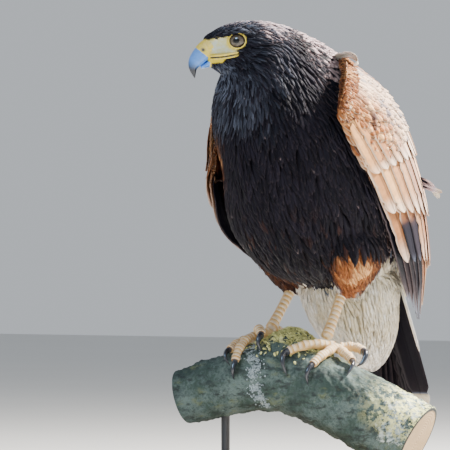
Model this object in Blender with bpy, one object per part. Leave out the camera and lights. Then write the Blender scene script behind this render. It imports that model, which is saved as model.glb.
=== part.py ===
"""A Harris's hawk, life-size, gripping a cut length of branch on a plain display stand.

Metres, +Z up. The hawk's body faces -Y and its left side is +X; its head is turned to its right.
The origin is the middle of the stand's underside. The forms below are worked out from FEET, the
point on the branch between the feet, and FEET is added as each piece is made.
"""

import math

import bmesh
import bpy
import numpy as np

# Clearance between pieces that touch
GAP = 0.0003
CUT_GROW = 0.0004

# The stand and where the feet come over it
BASE_LENGTH = 0.250
BASE_DEPTH = 0.190
BASE_THICK = 0.015
BASE_BEVEL = 0.003
ROD_RADIUS = 0.004
ROD_REACH = 0.055
FEET = np.array((0.0, -0.020, 0.150))

# The perch: distance along it, height of its middle, radius
PERCH_YAW = math.radians(18)
PERCH_Y = -0.012
PERCH = (
    (-0.104, -0.048, 0.0250),
    (-0.060, -0.037, 0.0275),
    (-0.030, -0.030, 0.0300),
    (0.000, -0.031, 0.0310),
    (0.030, -0.041, 0.0325),
    (0.060, -0.054, 0.0335),
    (0.090, -0.070, 0.0345),
    (0.121, -0.086, 0.0350),
)
PERCH_SIDES = 18
PERCH_RINGS = 17
# The knob on its crest between the feet: place, spread along, spread around, turn to the back, height
KNOB = (-0.004, 0.017, 0.55, 0.20, 0.015)

# Trunk sections: breast point (y, z), back point (y, z), half-width
TRUNK = (
    (0.0, -0.078, 0.262, -0.058, 0.292, 0.014),
    (0.6, -0.086, 0.248, -0.036, 0.288, 0.027),
    (1.4, -0.090, 0.232, 0.002, 0.277, 0.043),
    (2.4, -0.093, 0.210, 0.046, 0.256, 0.060),
    (3.4, -0.093, 0.180, 0.082, 0.222, 0.074),
    (4.4, -0.082, 0.145, 0.104, 0.184, 0.079),
    (5.4, -0.060, 0.110, 0.114, 0.146, 0.077),
    (6.2, -0.034, 0.084, 0.118, 0.112, 0.068),
    (6.9, -0.004, 0.064, 0.119, 0.086, 0.056),
    (7.4, 0.030, 0.054, 0.116, 0.068, 0.040),
)
TRUNK_SQUARE = 2.3
# The right breast is drawn in where the right wing is held forward over it: depth, place and spread
WING_BED = 0.0145
WING_BED_AT = 4.1
WING_BED_SPREAD = 1.3
TRUNK_SIDES = 24
TRUNK_RINGS = 22

# The head's own frame: its middle between the eyes, its turn to the right and its dip
HEAD_PLACE = np.array((-0.017, -0.069, 0.276))
HEAD_YAW = math.radians(51)
HEAD_DIP = math.radians(3)
# Head sections: distance forward, half-width, crown height, chin height
HEAD = (
    (-0.037, 0.0070, 0.0040, -0.0140),
    (-0.032, 0.0150, 0.0110, -0.0230),
    (-0.022, 0.0215, 0.0155, -0.0300),
    (-0.010, 0.0238, 0.0164, -0.0330),
    (0.002, 0.0222, 0.0157, -0.0340),
    (0.012, 0.0178, 0.0133, -0.0325),
    (0.021, 0.0130, 0.0090, -0.0290),
    (0.027, 0.0102, 0.0036, -0.0265),
)
HEAD_SQUARE = 2.3
HEAD_SIDES = 20
HEAD_RINGS = 12

# Eyes: radius, place out from the head's middle, how far forward they look
EYE_RADIUS = 0.0088
EYE_OUT = 0.0158
EYE_BACK = -0.0013
EYE_UP = -0.0023
EYE_FORWARD = math.radians(14)
LID_OUT = 0.0056
LID_RADIUS = 0.0071
LID_THICK = 0.0011
# Brow ridge and line of the mouth: place along, then forward, out, up (and thickness)
BROW = (
    (0.0, 0.0170, 0.0130, 0.0030, 0.0010),
    (0.3, 0.0110, 0.0178, 0.0048, 0.0019),
    (0.7, 0.0010, 0.0212, 0.0060, 0.0021),
    (1.0, -0.0090, 0.0222, 0.0050, 0.0010),
)
MOUTH = (
    (0.0, 0.0210, 0.0122, -0.0138),
    (0.5, 0.0120, 0.0170, -0.0131),
    (1.0, 0.0020, 0.0212, -0.0128),
)

# The upper bill: ridge point (forward, up), edge point (forward, up), half-width
BILL = (
    (0.0, 0.0220, 0.0060, 0.0150, -0.0128, 0.0108),
    (1.0, 0.0290, 0.0018, 0.0205, -0.0136, 0.0098),
    (2.0, 0.0350, -0.0030, 0.0255, -0.0165, 0.0086),
    (3.0, 0.0400, -0.0085, 0.0305, -0.0202, 0.0072),
    (4.0, 0.0437, -0.0148, 0.0342, -0.0224, 0.0056),
    (5.0, 0.0446, -0.0215, 0.0370, -0.0245, 0.0038),
    (6.0, 0.0425, -0.0280, 0.0384, -0.0286, 0.0020),
    (6.6, 0.0398, -0.0326, 0.0392, -0.0324, 0.0005),
)
# The lower bill: upper edge point, keel point, half-width
JAW = (
    (0.0, 0.0100, -0.0142, 0.0100, -0.0220, 0.0090),
    (1.0, 0.0195, -0.0143, 0.0190, -0.0228, 0.0084),
    (2.0, 0.0250, -0.0174, 0.0255, -0.0234, 0.0066),
    (3.0, 0.0300, -0.0210, 0.0305, -0.0242, 0.0044),
    (3.6, 0.0335, -0.0231, 0.0336, -0.0243, 0.0012),
)
# Where the yellow cere ends and the horny bill starts
CERE_EDGE = (0.0312, -0.0108)
CERE_LEAN = (0.66, -0.75)
NOSTRIL = (0.0300, 0.0095, -0.0065)
NOSTRIL_RADIUS = 0.0012

# Thin cuts that part head from neck and neck from torso: a point and the way up
HEAD_CUT = ((0.0, -0.064, 0.262), (-0.25, -0.55, 0.80))
NECK_CUT = ((0.0, -0.040, 0.238), (0.0, -0.35, 0.94))

# Wing (left): along it, then leading edge, outer corner and trailing edge as x, y, z
WING = (
    (0.00, 0.080, -0.046, 0.207, 0.086, -0.028, 0.262, 0.026, 0.022, 0.266),
    (0.25, 0.086, -0.026, 0.173, 0.102, 0.049, 0.224, 0.015, 0.089, 0.212),
    (0.50, 0.085, 0.009, 0.132, 0.098, 0.097, 0.167, 0.010, 0.120, 0.165),
    (0.70, 0.079, 0.042, 0.094, 0.089, 0.123, 0.118, 0.013, 0.132, 0.118),
    (0.85, 0.066, 0.076, 0.058, 0.075, 0.131, 0.076, 0.027, 0.138, 0.076),
    (1.00, 0.050, 0.112, 0.018, 0.054, 0.129, 0.024, 0.038, 0.136, 0.028),
)

# The right wing, held a little further forward lower down
WING_RIGHT = (
    (0.00, 0.055, -0.055, 0.200, 0.085, -0.013, 0.258, 0.026, 0.026, 0.268),
    (0.25, 0.050, -0.061, 0.170, 0.120, 0.032, 0.223, 0.017, 0.090, 0.218),
    (0.50, 0.061, -0.049, 0.136, 0.121, 0.075, 0.172, 0.012, 0.119, 0.166),
    (0.70, 0.080, 0.001, 0.096, 0.100, 0.112, 0.120, 0.014, 0.132, 0.119),
    (0.85, 0.071, 0.068, 0.058, 0.080, 0.126, 0.076, 0.027, 0.136, 0.076),
    (1.00, 0.050, 0.112, 0.018, 0.054, 0.129, 0.024, 0.038, 0.136, 0.028),
)

# Tail: along it, middle (y, z), half-width, half-thickness
TAIL = (
    (0.0, 0.106, 0.116, 0.020, 0.0070),
    (0.3, 0.126, 0.062, 0.026, 0.0055),
    (0.6, 0.142, 0.005, 0.031, 0.0040),
    (1.0, 0.163, -0.066, 0.037, 0.0025),
)
TAIL_LENGTH = 0.190
TAIL_FEATHERS = 12
TAIL_VANE = 0.0125
TAIL_STEP = 0.00092

# The wing's solid core: along, top height, underside height
CORE = np.array((
    (0.00, 0.0015, -0.0040),
    (0.05, 0.0050, -0.0060),
    (0.12, 0.0068, -0.0070),
    (0.20, 0.0058, -0.0075),
    (0.29, 0.0036, -0.0075),
    (0.37, 0.0012, -0.0070),
    (0.44, -0.0010, -0.0055),
))
# Tiers of wing feathers: how many, roots and tips as (turn, along, across), root height and free height
WING_TIERS = (
    (7, ((0, 0.38, 0.03), (1, 0.38, 0.26)), ((0, 0.82, 0.06), (0.4, 1.00, 0.30), (1, 0.91, 0.84)),
     -0.0030, -0.0032),
    (9, ((0, 0.30, 0.07), (1, 0.30, 0.94)), ((0, 0.72, 0.06), (0.5, 0.84, 0.50), (1, 0.90, 0.93)),
     -0.0006, 0.0000),
    (8, ((0, 0.18, 0.08), (1, 0.16, 0.94)), ((0, 0.58, 0.06), (0.5, 0.68, 0.50), (1, 0.66, 0.95)),
     0.0020, 0.0036),
    (7, ((0, 0.06, 0.07), (1, 0.05, 0.94)), ((0, 0.36, 0.07), (0.6, 0.44, 0.60), (1, 0.52, 0.94)),
     0.0045, 0.0068),
)
VANE_STATIONS = np.array((0.0, 0.42, 0.86, 1.0))
VANE_OUTLINE = np.array((0.85, 1.0, 0.86, 0.34))
VANE_THICK = np.array((0.0008, 0.0007, 0.0007, 0.0005))
VANE_TILT = 0.0009

# Under-tail coverts: height, middle x and y, half-width, half-depth
VENT = (
    (0.078, 0.0, 0.066, 0.034, 0.030),
    (0.062, 0.0, 0.074, 0.047, 0.044),
    (0.034, 0.0, 0.081, 0.046, 0.044),
    (0.012, 0.0, 0.089, 0.040, 0.038),
    (-0.008, 0.0, 0.099, 0.027, 0.027),
    (-0.020, 0.0, 0.108, 0.014, 0.014),
    (-0.025, 0.0, 0.114, 0.004, 0.004),
)


# Thighs: height, middle x and y, half-width, half-depth
THIGH_LEFT = (
    (0.118, 0.042, 0.012, 0.020, 0.030),
    (0.088, 0.044, 0.020, 0.027, 0.034),
    (0.068, 0.041, 0.028, 0.022, 0.028),
    (0.054, 0.034, 0.035, 0.015, 0.018),
    (0.045, 0.030, 0.037, 0.010, 0.011),
)
THIGH_RIGHT = (
    (0.118, -0.031, 0.014, 0.017, 0.028),
    (0.088, -0.033, 0.018, 0.020, 0.032),
    (0.068, -0.032, 0.026, 0.018, 0.027),
    (0.054, -0.031, 0.033, 0.013, 0.017),
    (0.047, -0.030, 0.036, 0.009, 0.010),
)
SHANK_RADIUS = 0.0047
# Shanks: the heel, a point half-way and the ankle
SHANK_LEFT = ((0.0265, 0.0370, 0.058), (0.0270, 0.0220, 0.032), (0.0270, 0.0060, 0.006))
SHANK_RIGHT = ((-0.0300, 0.0370, 0.060), (-0.0300, 0.0180, 0.037), (-0.0300, -0.0030, 0.013))

# Each toe goes from the palm along the branch: place, angle from the crest in degrees, height.
# The first rows are the toe, the last three its claw.
TOE_RADIUS = 0.0043
PALM_LEFT = (0.0280, 9.0, 0.0085)
PALM_RIGHT = (-0.0315, 20.0, 0.0085)
TOES_LEFT = {
    "inner": ((0.0250, 4, 0.0085), (0.0160, -12, 0.0065), (0.0080, -28, 0.0055), (0.0015, -42, 0.0050),
              (0.0000, -50, 0.0072), (0.0020, -66, 0.0085), (0.0068, -80, 0.0030)),
    "middle": ((0.0275, 4, 0.0085), (0.0265, -14, 0.0058), (0.0245, -33, 0.0050), (0.0230, -50, 0.0050),
               (0.0225, -57, 0.0066), (0.0235, -70, 0.0072), (0.0270, -82, 0.0024)),
    "outer": ((0.0300, 6, 0.0085), (0.0370, -3, 0.0080), (0.0430, -8, 0.0070), (0.0470, -12, 0.0055),
              (0.0490, -18, 0.0066), (0.0510, -30, 0.0066), (0.0505, -42, 0.0024)),
    "hind": ((0.0300, 14, 0.0105), (0.0365, 17, 0.0150), (0.0420, 17, 0.0165), (0.0470, 14, 0.0155),
             (0.0500, 10, 0.0145), (0.0520, 4, 0.0085), (0.0495, -2, 0.0026)),
}
TOES_RIGHT = {
    "inner": ((-0.0300, 16, 0.0095), (-0.0275, 3, 0.0115), (-0.0245, -10, 0.0120), (-0.0215, -20, 0.0100),
              (-0.0213, -27, 0.0110), (-0.0215, -36, 0.0095), (-0.0195, -42, 0.0030)),
    "middle": ((-0.0320, 14, 0.0085), (-0.0345, -12, 0.0058), (-0.0365, -36, 0.0050), (-0.0385, -58, 0.0050),
               (-0.0392, -65, 0.0066), (-0.0410, -77, 0.0072), (-0.0430, -88, 0.0024)),
    "outer": ((-0.0335, 17, 0.0085), (-0.0385, 3, 0.0065), (-0.0425, -12, 0.0052), (-0.0450, -27, 0.0050),
              (-0.0462, -33, 0.0066), (-0.0468, -47, 0.0070), (-0.0450, -58, 0.0024)),
    "hind": ((-0.0300, 24, 0.0105), (-0.0245, 27, 0.0140), (-0.0195, 31, 0.0145), (-0.0150, 38, 0.0120),
             (-0.0135, 44, 0.0115), (-0.0115, 57, 0.0090), (-0.0105, 70, 0.0030)),
}
CLAW_RADIUS = {"inner": 0.0034, "middle": 0.0029, "outer": 0.0027, "hind": 0.0036}

YELLOW = (0.62, 0.36, 0.06)
HORN = (0.05, 0.055, 0.07)
OAK = (0.30, 0.20, 0.12)


def through(stations, at):
    """Cubic curve through the stations, whose first column is the parameter, read at given places."""
    table = np.array(stations, float)
    x, y = table[:, 0], table[:, 1:]
    if x[0] > x[-1]:
        x, y = -x, y
        at = -np.asarray(at, float)
    slope = np.gradient(y, x, axis=0)
    at = np.clip(np.asarray(at, float), x[0], x[-1])
    i = np.clip(np.searchsorted(x, at, side="right") - 1, 0, len(x) - 2)
    step = (x[i + 1] - x[i])[..., None]
    t = (at - x[i])[..., None] / step
    return (
        (2 * t**3 - 3 * t**2 + 1) * y[i]
        + (t**3 - 2 * t**2 + t) * step * slope[i]
        + (3 * t**2 - 2 * t**3) * y[i + 1]
        + (t**3 - t**2) * step * slope[i + 1]
    )


def spread(stations, count):
    """Parameter values from the first station to the last, evenly spaced."""
    return np.linspace(stations[0][0], stations[-1][0], count)


def unit(v):
    v = np.asarray(v, float)
    return v / np.linalg.norm(v, axis=-1, keepdims=True)


def signed_power(value, power):
    return np.sign(value) * np.abs(value) ** power


def oval(sides, square):
    """Across and up values of a superellipse of unit size."""
    turn = np.linspace(0, 2 * math.pi, sides, endpoint=False)
    return signed_power(np.cos(turn), 2 / square), signed_power(np.sin(turn), 2 / square)


def make(name, points, faces, colour, rough=0.7):
    """An object from points relative to FEET, with its faces turned outwards."""
    mesh = bpy.data.meshes.new(name)
    mesh.from_pydata([tuple(p) for p in np.asarray(points) + FEET], [], faces)
    shape = bmesh.new()
    shape.from_mesh(mesh)
    bmesh.ops.recalc_face_normals(shape, faces=shape.faces)
    if shape.calc_volume(signed=True) < 0:
        bmesh.ops.reverse_faces(shape, faces=shape.faces)
    shape.to_mesh(mesh)
    shape.free()
    piece = bpy.data.objects.new(name, mesh)
    parts.objects.link(piece)
    piece.data.materials.append(finish(colour, rough))
    return piece


def finish(colour, rough):
    label = "finish_%02d_%02d_%02d_%02d" % tuple(round(99 * c) for c in (*colour, rough))
    found = bpy.data.materials.get(label)
    if found:
        return found
    made = bpy.data.materials.new(label)
    made.use_nodes = True
    shader = made.node_tree.nodes["Principled BSDF"]
    shader.inputs["Base Color"].default_value = (*colour, 1)
    shader.inputs["Roughness"].default_value = rough
    shader.inputs["Metallic"].default_value = 0
    return made


def skin_of(rings, caps="fan"):
    """Points and faces of a tube through rings of points, closed at both ends by a fan round its middle."""
    rings = np.asarray(rings)
    count, sides = rings.shape[:2]
    points = [*rings.reshape(-1, 3), rings[0].mean(0), rings[-1].mean(0)]
    faces = []
    for i in range(count - 1):
        for j in range(sides):
            k = (j + 1) % sides
            faces.append((i * sides + j, i * sides + k, (i + 1) * sides + k, (i + 1) * sides + j))
    last = (count - 1) * sides
    for j in range(sides):
        k = (j + 1) % sides
        faces.append((count * sides, k, j))
        faces.append((count * sides + 1, last + j, last + k))
    return np.array(points), faces


def blade_of(rings):
    """Points and faces of a thin blade whose rings run over one face and back along the other."""
    rings = np.asarray(rings)
    count, sides = rings.shape[:2]
    faces = []
    for i in range(count - 1):
        for j in range(sides):
            k = (j + 1) % sides
            low, high = i * sides, (i + 1) * sides
            faces.append((low + j, low + k, high + k))
            faces.append((low + j, high + k, high + j))
    for start in (0, (count - 1) * sides):
        for j in range(sides // 2 - 1):
            faces.append((start + j, start + j + 1, start + sides - 2 - j, start + sides - 1 - j))
    return rings.reshape(-1, 3), faces


def apply_all(piece):
    """Bakes the piece's modifiers into its mesh."""
    bpy.context.view_layer.update()
    graph = bpy.context.evaluated_depsgraph_get()
    mesh = bpy.data.meshes.new_from_object(piece.evaluated_get(graph))
    piece.modifiers.clear()
    piece.data = mesh


def boolean(piece, other, operation):
    cut = piece.modifiers.new(operation, "BOOLEAN")
    cut.operation = operation
    cut.object = other
    cut.solver = "MANIFOLD"
    apply_all(piece)
    bpy.data.objects.remove(other)


def keep_largest(piece):
    """Drops all but the largest closed surface of a piece."""
    shape = bmesh.new()
    shape.from_mesh(piece.data)
    left = set(shape.faces)
    islands = []
    while left:
        island = {left.pop()}
        edge = list(island)
        while edge:
            face = edge.pop()
            for side in face.edges:
                for near in side.link_faces:
                    if near in left:
                        left.remove(near)
                        island.add(near)
                        edge.append(near)
        islands.append(island)
    if len(islands) > 1:
        islands.sort(key=lambda found: box_of(found))
        doomed = [face for island in islands[:-1] for face in island]
        bmesh.ops.delete(shape, geom=doomed, context="FACES")
    shape.to_mesh(piece.data)
    shape.free()


def box_of(faces):
    """Volume of the box round some faces."""
    places = np.array([tuple(v.co) for face in faces for v in face.verts])
    return float(np.prod(places.max(0) - places.min(0)))


def clipped(piece, name, point, up):
    """A copy of the piece on the side of a plane that up points to, with the cut closed."""
    copy = bpy.data.objects.new(name, piece.data.copy())
    parts.objects.link(copy)
    shape = bmesh.new()
    shape.from_mesh(copy.data)
    bmesh.ops.bisect_plane(
        shape,
        geom=[*shape.verts, *shape.edges, *shape.faces],
        plane_co=tuple(np.asarray(point)),
        plane_no=tuple(up),
        clear_inner=True,
    )
    rim = [edge for edge in shape.edges if edge.is_boundary]
    bmesh.ops.triangle_fill(shape, edges=rim, use_beauty=True)
    bmesh.ops.recalc_face_normals(shape, faces=shape.faces)
    shape.to_mesh(copy.data)
    shape.free()
    keep_largest(copy)
    return copy


def part_at(piece, cut, above, below):
    """Parts a piece by a thin cut. Returns the pieces above and below it."""
    point, up = np.array(cut[0]) + FEET, unit(cut[1])
    top = clipped(piece, above, point + up * GAP / 2, up)
    bottom = clipped(piece, below, point - up * GAP / 2, -up)
    bpy.data.objects.remove(piece)
    return top, bottom


def perch_point(along, turn, height=0.0):
    """A point over the branch: distance along, angle from the crest (back is positive), height over the bark."""
    along, turn, height = np.broadcast_arrays(*(np.asarray(v, float) for v in (along, turn, height)))
    z, radius = np.moveaxis(through(PERCH, along), -1, 0)
    ahead = np.moveaxis(through(PERCH, along + 1e-4), -1, 0)[0]
    behind = np.moveaxis(through(PERCH, along - 1e-4), -1, 0)[0]
    slope = (ahead - behind) / 2e-4
    place, wide, around, lean, tall = KNOB
    bump = tall * np.exp(-(((along - place) / wide) ** 2) - ((turn - lean) / around) ** 2)
    out = radius + bump + height
    length = np.sqrt(1 + slope**2)
    run = np.array((math.cos(PERCH_YAW), math.sin(PERCH_YAW), 0.0))
    back = np.array((-math.sin(PERCH_YAW), math.cos(PERCH_YAW), 0.0))
    up = np.array((0.0, 0.0, 1.0))
    normal = (up - slope[..., None] * run) / length[..., None]
    middle = along[..., None] * run + z[..., None] * up + np.array((0.0, PERCH_Y, 0.0))
    return middle + (out * np.cos(turn))[..., None] * normal + (out * np.sin(turn))[..., None] * back


def perch_solid(name, grow=0.0):
    along = spread(PERCH, PERCH_RINGS)
    along[0] -= grow
    along[-1] += grow
    turn = np.linspace(0, 2 * math.pi, PERCH_SIDES, endpoint=False)
    turn = np.where(turn > math.pi, turn - 2 * math.pi, turn)
    rings = perch_point(along[:, None], turn[None, :], grow)
    return make(name, *skin_of(rings), (0.23, 0.24, 0.19), 0.9)


def section_rings(stations, count, sides, square, grow=0.0):
    """Rings between a front and a back point in the middle plane, as (across, first, second) places."""
    rows = through(stations, spread(stations, count))
    front, back, wide = rows[:, 0:2], rows[:, 2:4], rows[:, 4]
    middle, half = (front + back) / 2, (front - back) / 2
    depth = np.linalg.norm(half, axis=1)
    half = half * (1 + grow / np.maximum(depth, 1e-5))[:, None]
    across, along = oval(sides, square)
    plane = middle[:, None, :] + half[:, None, :] * across[None, :, None]
    out = (wide + grow)[:, None] * along[None, :]
    return out, plane[..., 0], plane[..., 1]


def trunk_solid(name, grow=0.0):
    x, y, z = section_rings(TRUNK, TRUNK_RINGS, TRUNK_SIDES, TRUNK_SQUARE, grow)
    across, along = oval(TRUNK_SIDES, TRUNK_SQUARE)
    at = spread(TRUNK, TRUNK_RINGS)
    quarter = np.clip(across, 0, 1) * np.clip(-along, 0, 1) * 2
    swell = np.clip(np.exp(-(((at - WING_BED_AT) / WING_BED_SPREAD) ** 2)) - 0.02, 0, 1)
    bed = (WING_BED - 3 * grow) * swell[:, None] * quarter[None, :]
    x, y = x + bed * 0.79, y + bed * 0.61
    return make(name, *skin_of(np.stack((x, y, z), -1)), (0.06, 0.04, 0.04))


def head_place(forward, left, up):
    """Places given in the head's frame, relative to FEET."""
    forward, left, up = np.broadcast_arrays(*(np.asarray(v, float) for v in (forward, left, up)))
    nose = np.array((-math.sin(HEAD_YAW), -math.cos(HEAD_YAW), 0.0))
    side = np.array((math.cos(HEAD_YAW), -math.sin(HEAD_YAW), 0.0))
    top = np.array((0.0, 0.0, 1.0))
    dip_nose = nose * math.cos(HEAD_DIP) - top * math.sin(HEAD_DIP)
    dip_top = top * math.cos(HEAD_DIP) + nose * math.sin(HEAD_DIP)
    return HEAD_PLACE + forward[..., None] * dip_nose + left[..., None] * side + up[..., None] * dip_top


def head_solid(name, grow=0.0):
    rows = through(HEAD, spread(HEAD, HEAD_RINGS))
    forward = spread(HEAD, HEAD_RINGS)
    wide, crown, chin = rows.T
    across, along = oval(HEAD_SIDES, HEAD_SQUARE)
    left = (wide + grow)[:, None] * across[None, :]
    up = ((crown + chin) / 2)[:, None] + ((crown - chin) / 2 + grow)[:, None] * along[None, :]
    rings = head_place(forward[:, None] + 0 * left, left, up)
    return make(name, *skin_of(rings), (0.05, 0.04, 0.045))


def flesh(name, grow=0.0):
    """Trunk, neck and head as one closed form."""
    body = trunk_solid(name, grow)
    boolean(body, head_solid("head_form", grow), "UNION")
    keep_largest(body)
    return body


def ball(name, centre, radius, colour, sides=20, rings=12):
    """A sphere round a place relative to FEET."""
    piece = make(name, *sphere(centre, radius, sides, rings), colour, 0.15)
    return piece


def sphere(centre, radius, sides, rings):
    turn = np.linspace(0, 2 * math.pi, sides, endpoint=False)
    tilt = np.linspace(0, math.pi, rings + 1)[1:-1]
    x = np.sin(tilt)[:, None] * np.cos(turn)[None, :]
    y = np.sin(tilt)[:, None] * np.sin(turn)[None, :]
    z = np.cos(tilt)[:, None] + 0 * x
    points, faces = skin_of(np.stack((x, y, z), -1))
    points[-2], points[-1] = (0, 0, 1), (0, 0, -1)
    return points * radius + np.asarray(centre), faces


def tube(path, radii, sides, flat=1.0, side_way=(1, 0, 0)):
    """Points and faces of a round tube along a path, whose radius changes along it."""
    path = np.asarray(path, float)
    ahead = unit(np.gradient(path, axis=0))
    across = unit(np.cross(ahead, np.broadcast_to(side_way, ahead.shape)))
    other = np.cross(ahead, across)
    turn = np.linspace(0, 2 * math.pi, sides, endpoint=False)
    radii = np.broadcast_to(radii, len(path))[:, None, None]
    rings = path[:, None, :] + radii * (
        np.cos(turn)[None, :, None] * across[:, None, :] * flat
        + np.sin(turn)[None, :, None] * other[:, None, :]
    )
    return skin_of(rings)


def torus(centre, axis, radius, thick, sides=18, round_sides=6):
    """Points and faces of a ring round an axis."""
    axis = unit(axis)
    first = unit(np.cross(axis, (0.0, 0.0, 1.0)))
    second = np.cross(axis, first)
    turn = np.linspace(0, 2 * math.pi, sides, endpoint=False)[:, None]
    roll = np.linspace(0, 2 * math.pi, round_sides, endpoint=False)[None, :]
    out = radius + thick * np.cos(roll)
    points = (
        (out * np.cos(turn))[..., None] * first
        + (out * np.sin(turn))[..., None] * second
        + (thick * np.sin(roll) + 0 * turn)[..., None] * axis
    )
    faces = []
    for i in range(sides):
        for j in range(round_sides):
            k, m = (i + 1) % sides, (j + 1) % round_sides
            faces.append(
                (i * round_sides + j, k * round_sides + j, k * round_sides + m, i * round_sides + m)
            )
    return points.reshape(-1, 3) + np.asarray(centre), faces


def eye_centre(side):
    return head_place(EYE_BACK, side * EYE_OUT, EYE_UP)


def eye_axis(side):
    ahead = head_place(math.sin(EYE_FORWARD), side * math.cos(EYE_FORWARD), 0.0)
    return unit(ahead - HEAD_PLACE)


def beak_rings(stations, count, sides, grow, narrow):
    """Rings of a bill half in the head's frame, between its upper and lower lines."""
    rows = through(stations, spread(stations, count))
    top, low, wide = rows[:, 0:2], rows[:, 2:4], rows[:, 4] + grow
    middle, half = (top + low) / 2, (top - low) / 2
    size = np.linalg.norm(half, axis=1)
    half = half * (1 + grow / np.maximum(size, 1e-4))[:, None]
    across, up = oval(sides, 2.2)
    plane = middle[:, None, :] + half[:, None, :] * up[None, :, None]
    out = wide[:, None] * (across * (1 - narrow * up))[None, :]
    return head_place(plane[..., 0], out, plane[..., 1])


def upper_bill(name, grow=0.0):
    return make(name, *skin_of(beak_rings(BILL, 14, 16, grow, 0.22)), (0.12, 0.13, 0.16), 0.35)


def lower_bill(name, grow=0.0):
    return make(name, *skin_of(beak_rings(JAW, 8, 12, grow, -0.15)), (0.20, 0.21, 0.24), 0.4)


def make_head_parts():
    body = flesh("body_form")
    head, rest = part_at(body, HEAD_CUT, "head", "rest")
    neck, torso = part_at(rest, NECK_CUT, "neck", "torso")
    for side, label in ((1, "left"), (-1, "right")):
        middle, axis = eye_centre(side), eye_axis(side)
        ring = torus(middle + axis * LID_OUT, axis, LID_RADIUS, LID_THICK)
        boolean(head, make("lid", *ring, YELLOW), "UNION")
        brow = through(BROW, np.linspace(0, 1, 6))
        path = head_place(brow[:, 0], side * brow[:, 1], brow[:, 2])
        boolean(head, make("brow", *tube(path, brow[:, 3], 6), YELLOW), "UNION")
        boolean(head, make("socket", *sphere(middle, EYE_RADIUS + GAP, 18, 11), YELLOW), "DIFFERENCE")
        ball("eye_" + label, middle, EYE_RADIUS, (0.16, 0.12, 0.09), 18, 11)
        mouth = through(MOUTH, np.linspace(0, 1, 4))
        path = head_place(mouth[:, 0], side * mouth[:, 1], mouth[:, 2])
        boolean(head, make("groove", *tube(path, 0.0006, 4), YELLOW), "DIFFERENCE")
    boolean(head, upper_bill("bill_pocket", CUT_GROW), "DIFFERENCE")
    boolean(head, lower_bill("jaw_pocket", CUT_GROW), "DIFFERENCE")
    keep_largest(head)
    lower = lower_bill("bill_lower")
    boolean(lower, upper_bill("bill_room", CUT_GROW), "DIFFERENCE")
    keep_largest(lower)
    edge = head_place(CERE_EDGE[0], 0.0, CERE_EDGE[1])
    ahead = head_place(CERE_EDGE[0] + CERE_LEAN[0], 0.0, CERE_EDGE[1] + CERE_LEAN[1])
    whole = upper_bill("bill_form")
    horn, cere = part_at(whole, (edge, ahead - edge), "bill_upper", "cere")
    repaint(cere, YELLOW, 0.55)
    for side in (1, -1):
        hole = head_place(NOSTRIL[0], side * NOSTRIL[1], NOSTRIL[2])
        boolean(cere, make("nostril", *sphere(hole, NOSTRIL_RADIUS, 8, 6), YELLOW), "DIFFERENCE")
    keep_largest(cere)
    return head, neck, torso


def repaint(piece, colour, rough):
    piece.data.materials.clear()
    piece.data.materials.append(finish(colour, rough))


def wing_place(side, along, across, height):
    """A point on a folded wing: from shoulder to tip, from leading to trailing edge, height outwards."""
    along, across, height = np.broadcast_arrays(
        *(np.asarray(v, float) for v in (along, across, height))
    )
    ahead = wing_sheet(side, along + 1e-3, across) - wing_sheet(side, along - 1e-3, across)
    over = wing_sheet(side, along, across + 1e-3) - wing_sheet(side, along, across - 1e-3)
    out = unit(np.cross(ahead, over))
    return (wing_sheet(side, along, across) + out * height[..., None]) * np.array((side, 1, 1))


def wing_sheet(side, along, across):
    rows = through(WING if side > 0 else WING_RIGHT, np.clip(along, 0, 1))
    beyond = (along - np.clip(along, 0, 1))[..., None]
    rows = rows + beyond * (through(WING, 1.0) - through(WING, 0.97)) / 0.03
    lead, middle, trail = rows[..., 0:3], rows[..., 3:6], rows[..., 6:9]
    t = across[..., None]
    return (1 - t) ** 2 * lead + 2 * t * (1 - t) * middle + t**2 * trail


def wing_core(side):
    """The solid shoulder and forearm that every tier of feathers grows from."""
    along = CORE[:, 0]
    across = np.concatenate((np.linspace(0.01, 0.99, 8), np.linspace(0.99, 0.01, 8)))
    upper = np.array((0.3, 0.9, 1, 1, 1, 1, 0.9, 0.3))
    heights = np.concatenate(
        (CORE[:, 1:2] * upper[None, :], CORE[:, 2:3] * upper[None, ::-1]), axis=1
    )
    return blade_of(wing_place(side, along[:, None], across[None, :], heights))


def vane_of(low, shaft, high, out, thick):
    """Points and triangles of one flat feather from rows of its edges and shaft, split alike on both faces."""
    half = (out * thick[:, None]) / 2
    rows = np.stack((low + half, shaft + half, high + half, high - half, shaft - half, low - half), 1)
    faces = []
    for i in range(len(rows) - 1):
        here, there = 6 * i, 6 * i + 6
        for a, b in ((0, 1), (1, 2)):
            faces += [(here + a, here + b, there + b), (here + a, there + b, there + a)]
            a, b = 5 - a, 5 - b
            faces += [(here + a, there + b, here + b), (here + a, there + a, there + b)]
        for a, b in ((5, 0), (2, 3)):
            faces += [(here + a, here + b, there + b), (here + a, there + b, there + a)]
    for end in (0, 6 * len(rows) - 6):
        faces += [(end, end + 1, end + 4), (end, end + 4, end + 5)]
        faces += [(end + 1, end + 2, end + 3), (end + 1, end + 3, end + 4)]
    return rows.reshape(-1, 3), faces


def tier_on_wing(side, tier):
    """One tier of overlapping feathers on a wing. Each lies over the next one nearer the leading edge."""
    along, across, height = vane_paths(tier)
    gap = np.gradient(across, axis=0)
    wide = 0.85 * gap * VANE_OUTLINE
    low = wing_place(side, along, across - wide, height + VANE_TILT)
    shaft = wing_place(side, along, across, height + 0.0003)
    high = wing_place(side, along, across + wide, height - VANE_TILT)
    out = unit(wing_place(side, along, across, 0.001) - wing_place(side, along, across, 0.0))
    return [vane_of(*rows, VANE_THICK) for rows in zip(low, shaft, high, out)]


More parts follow.
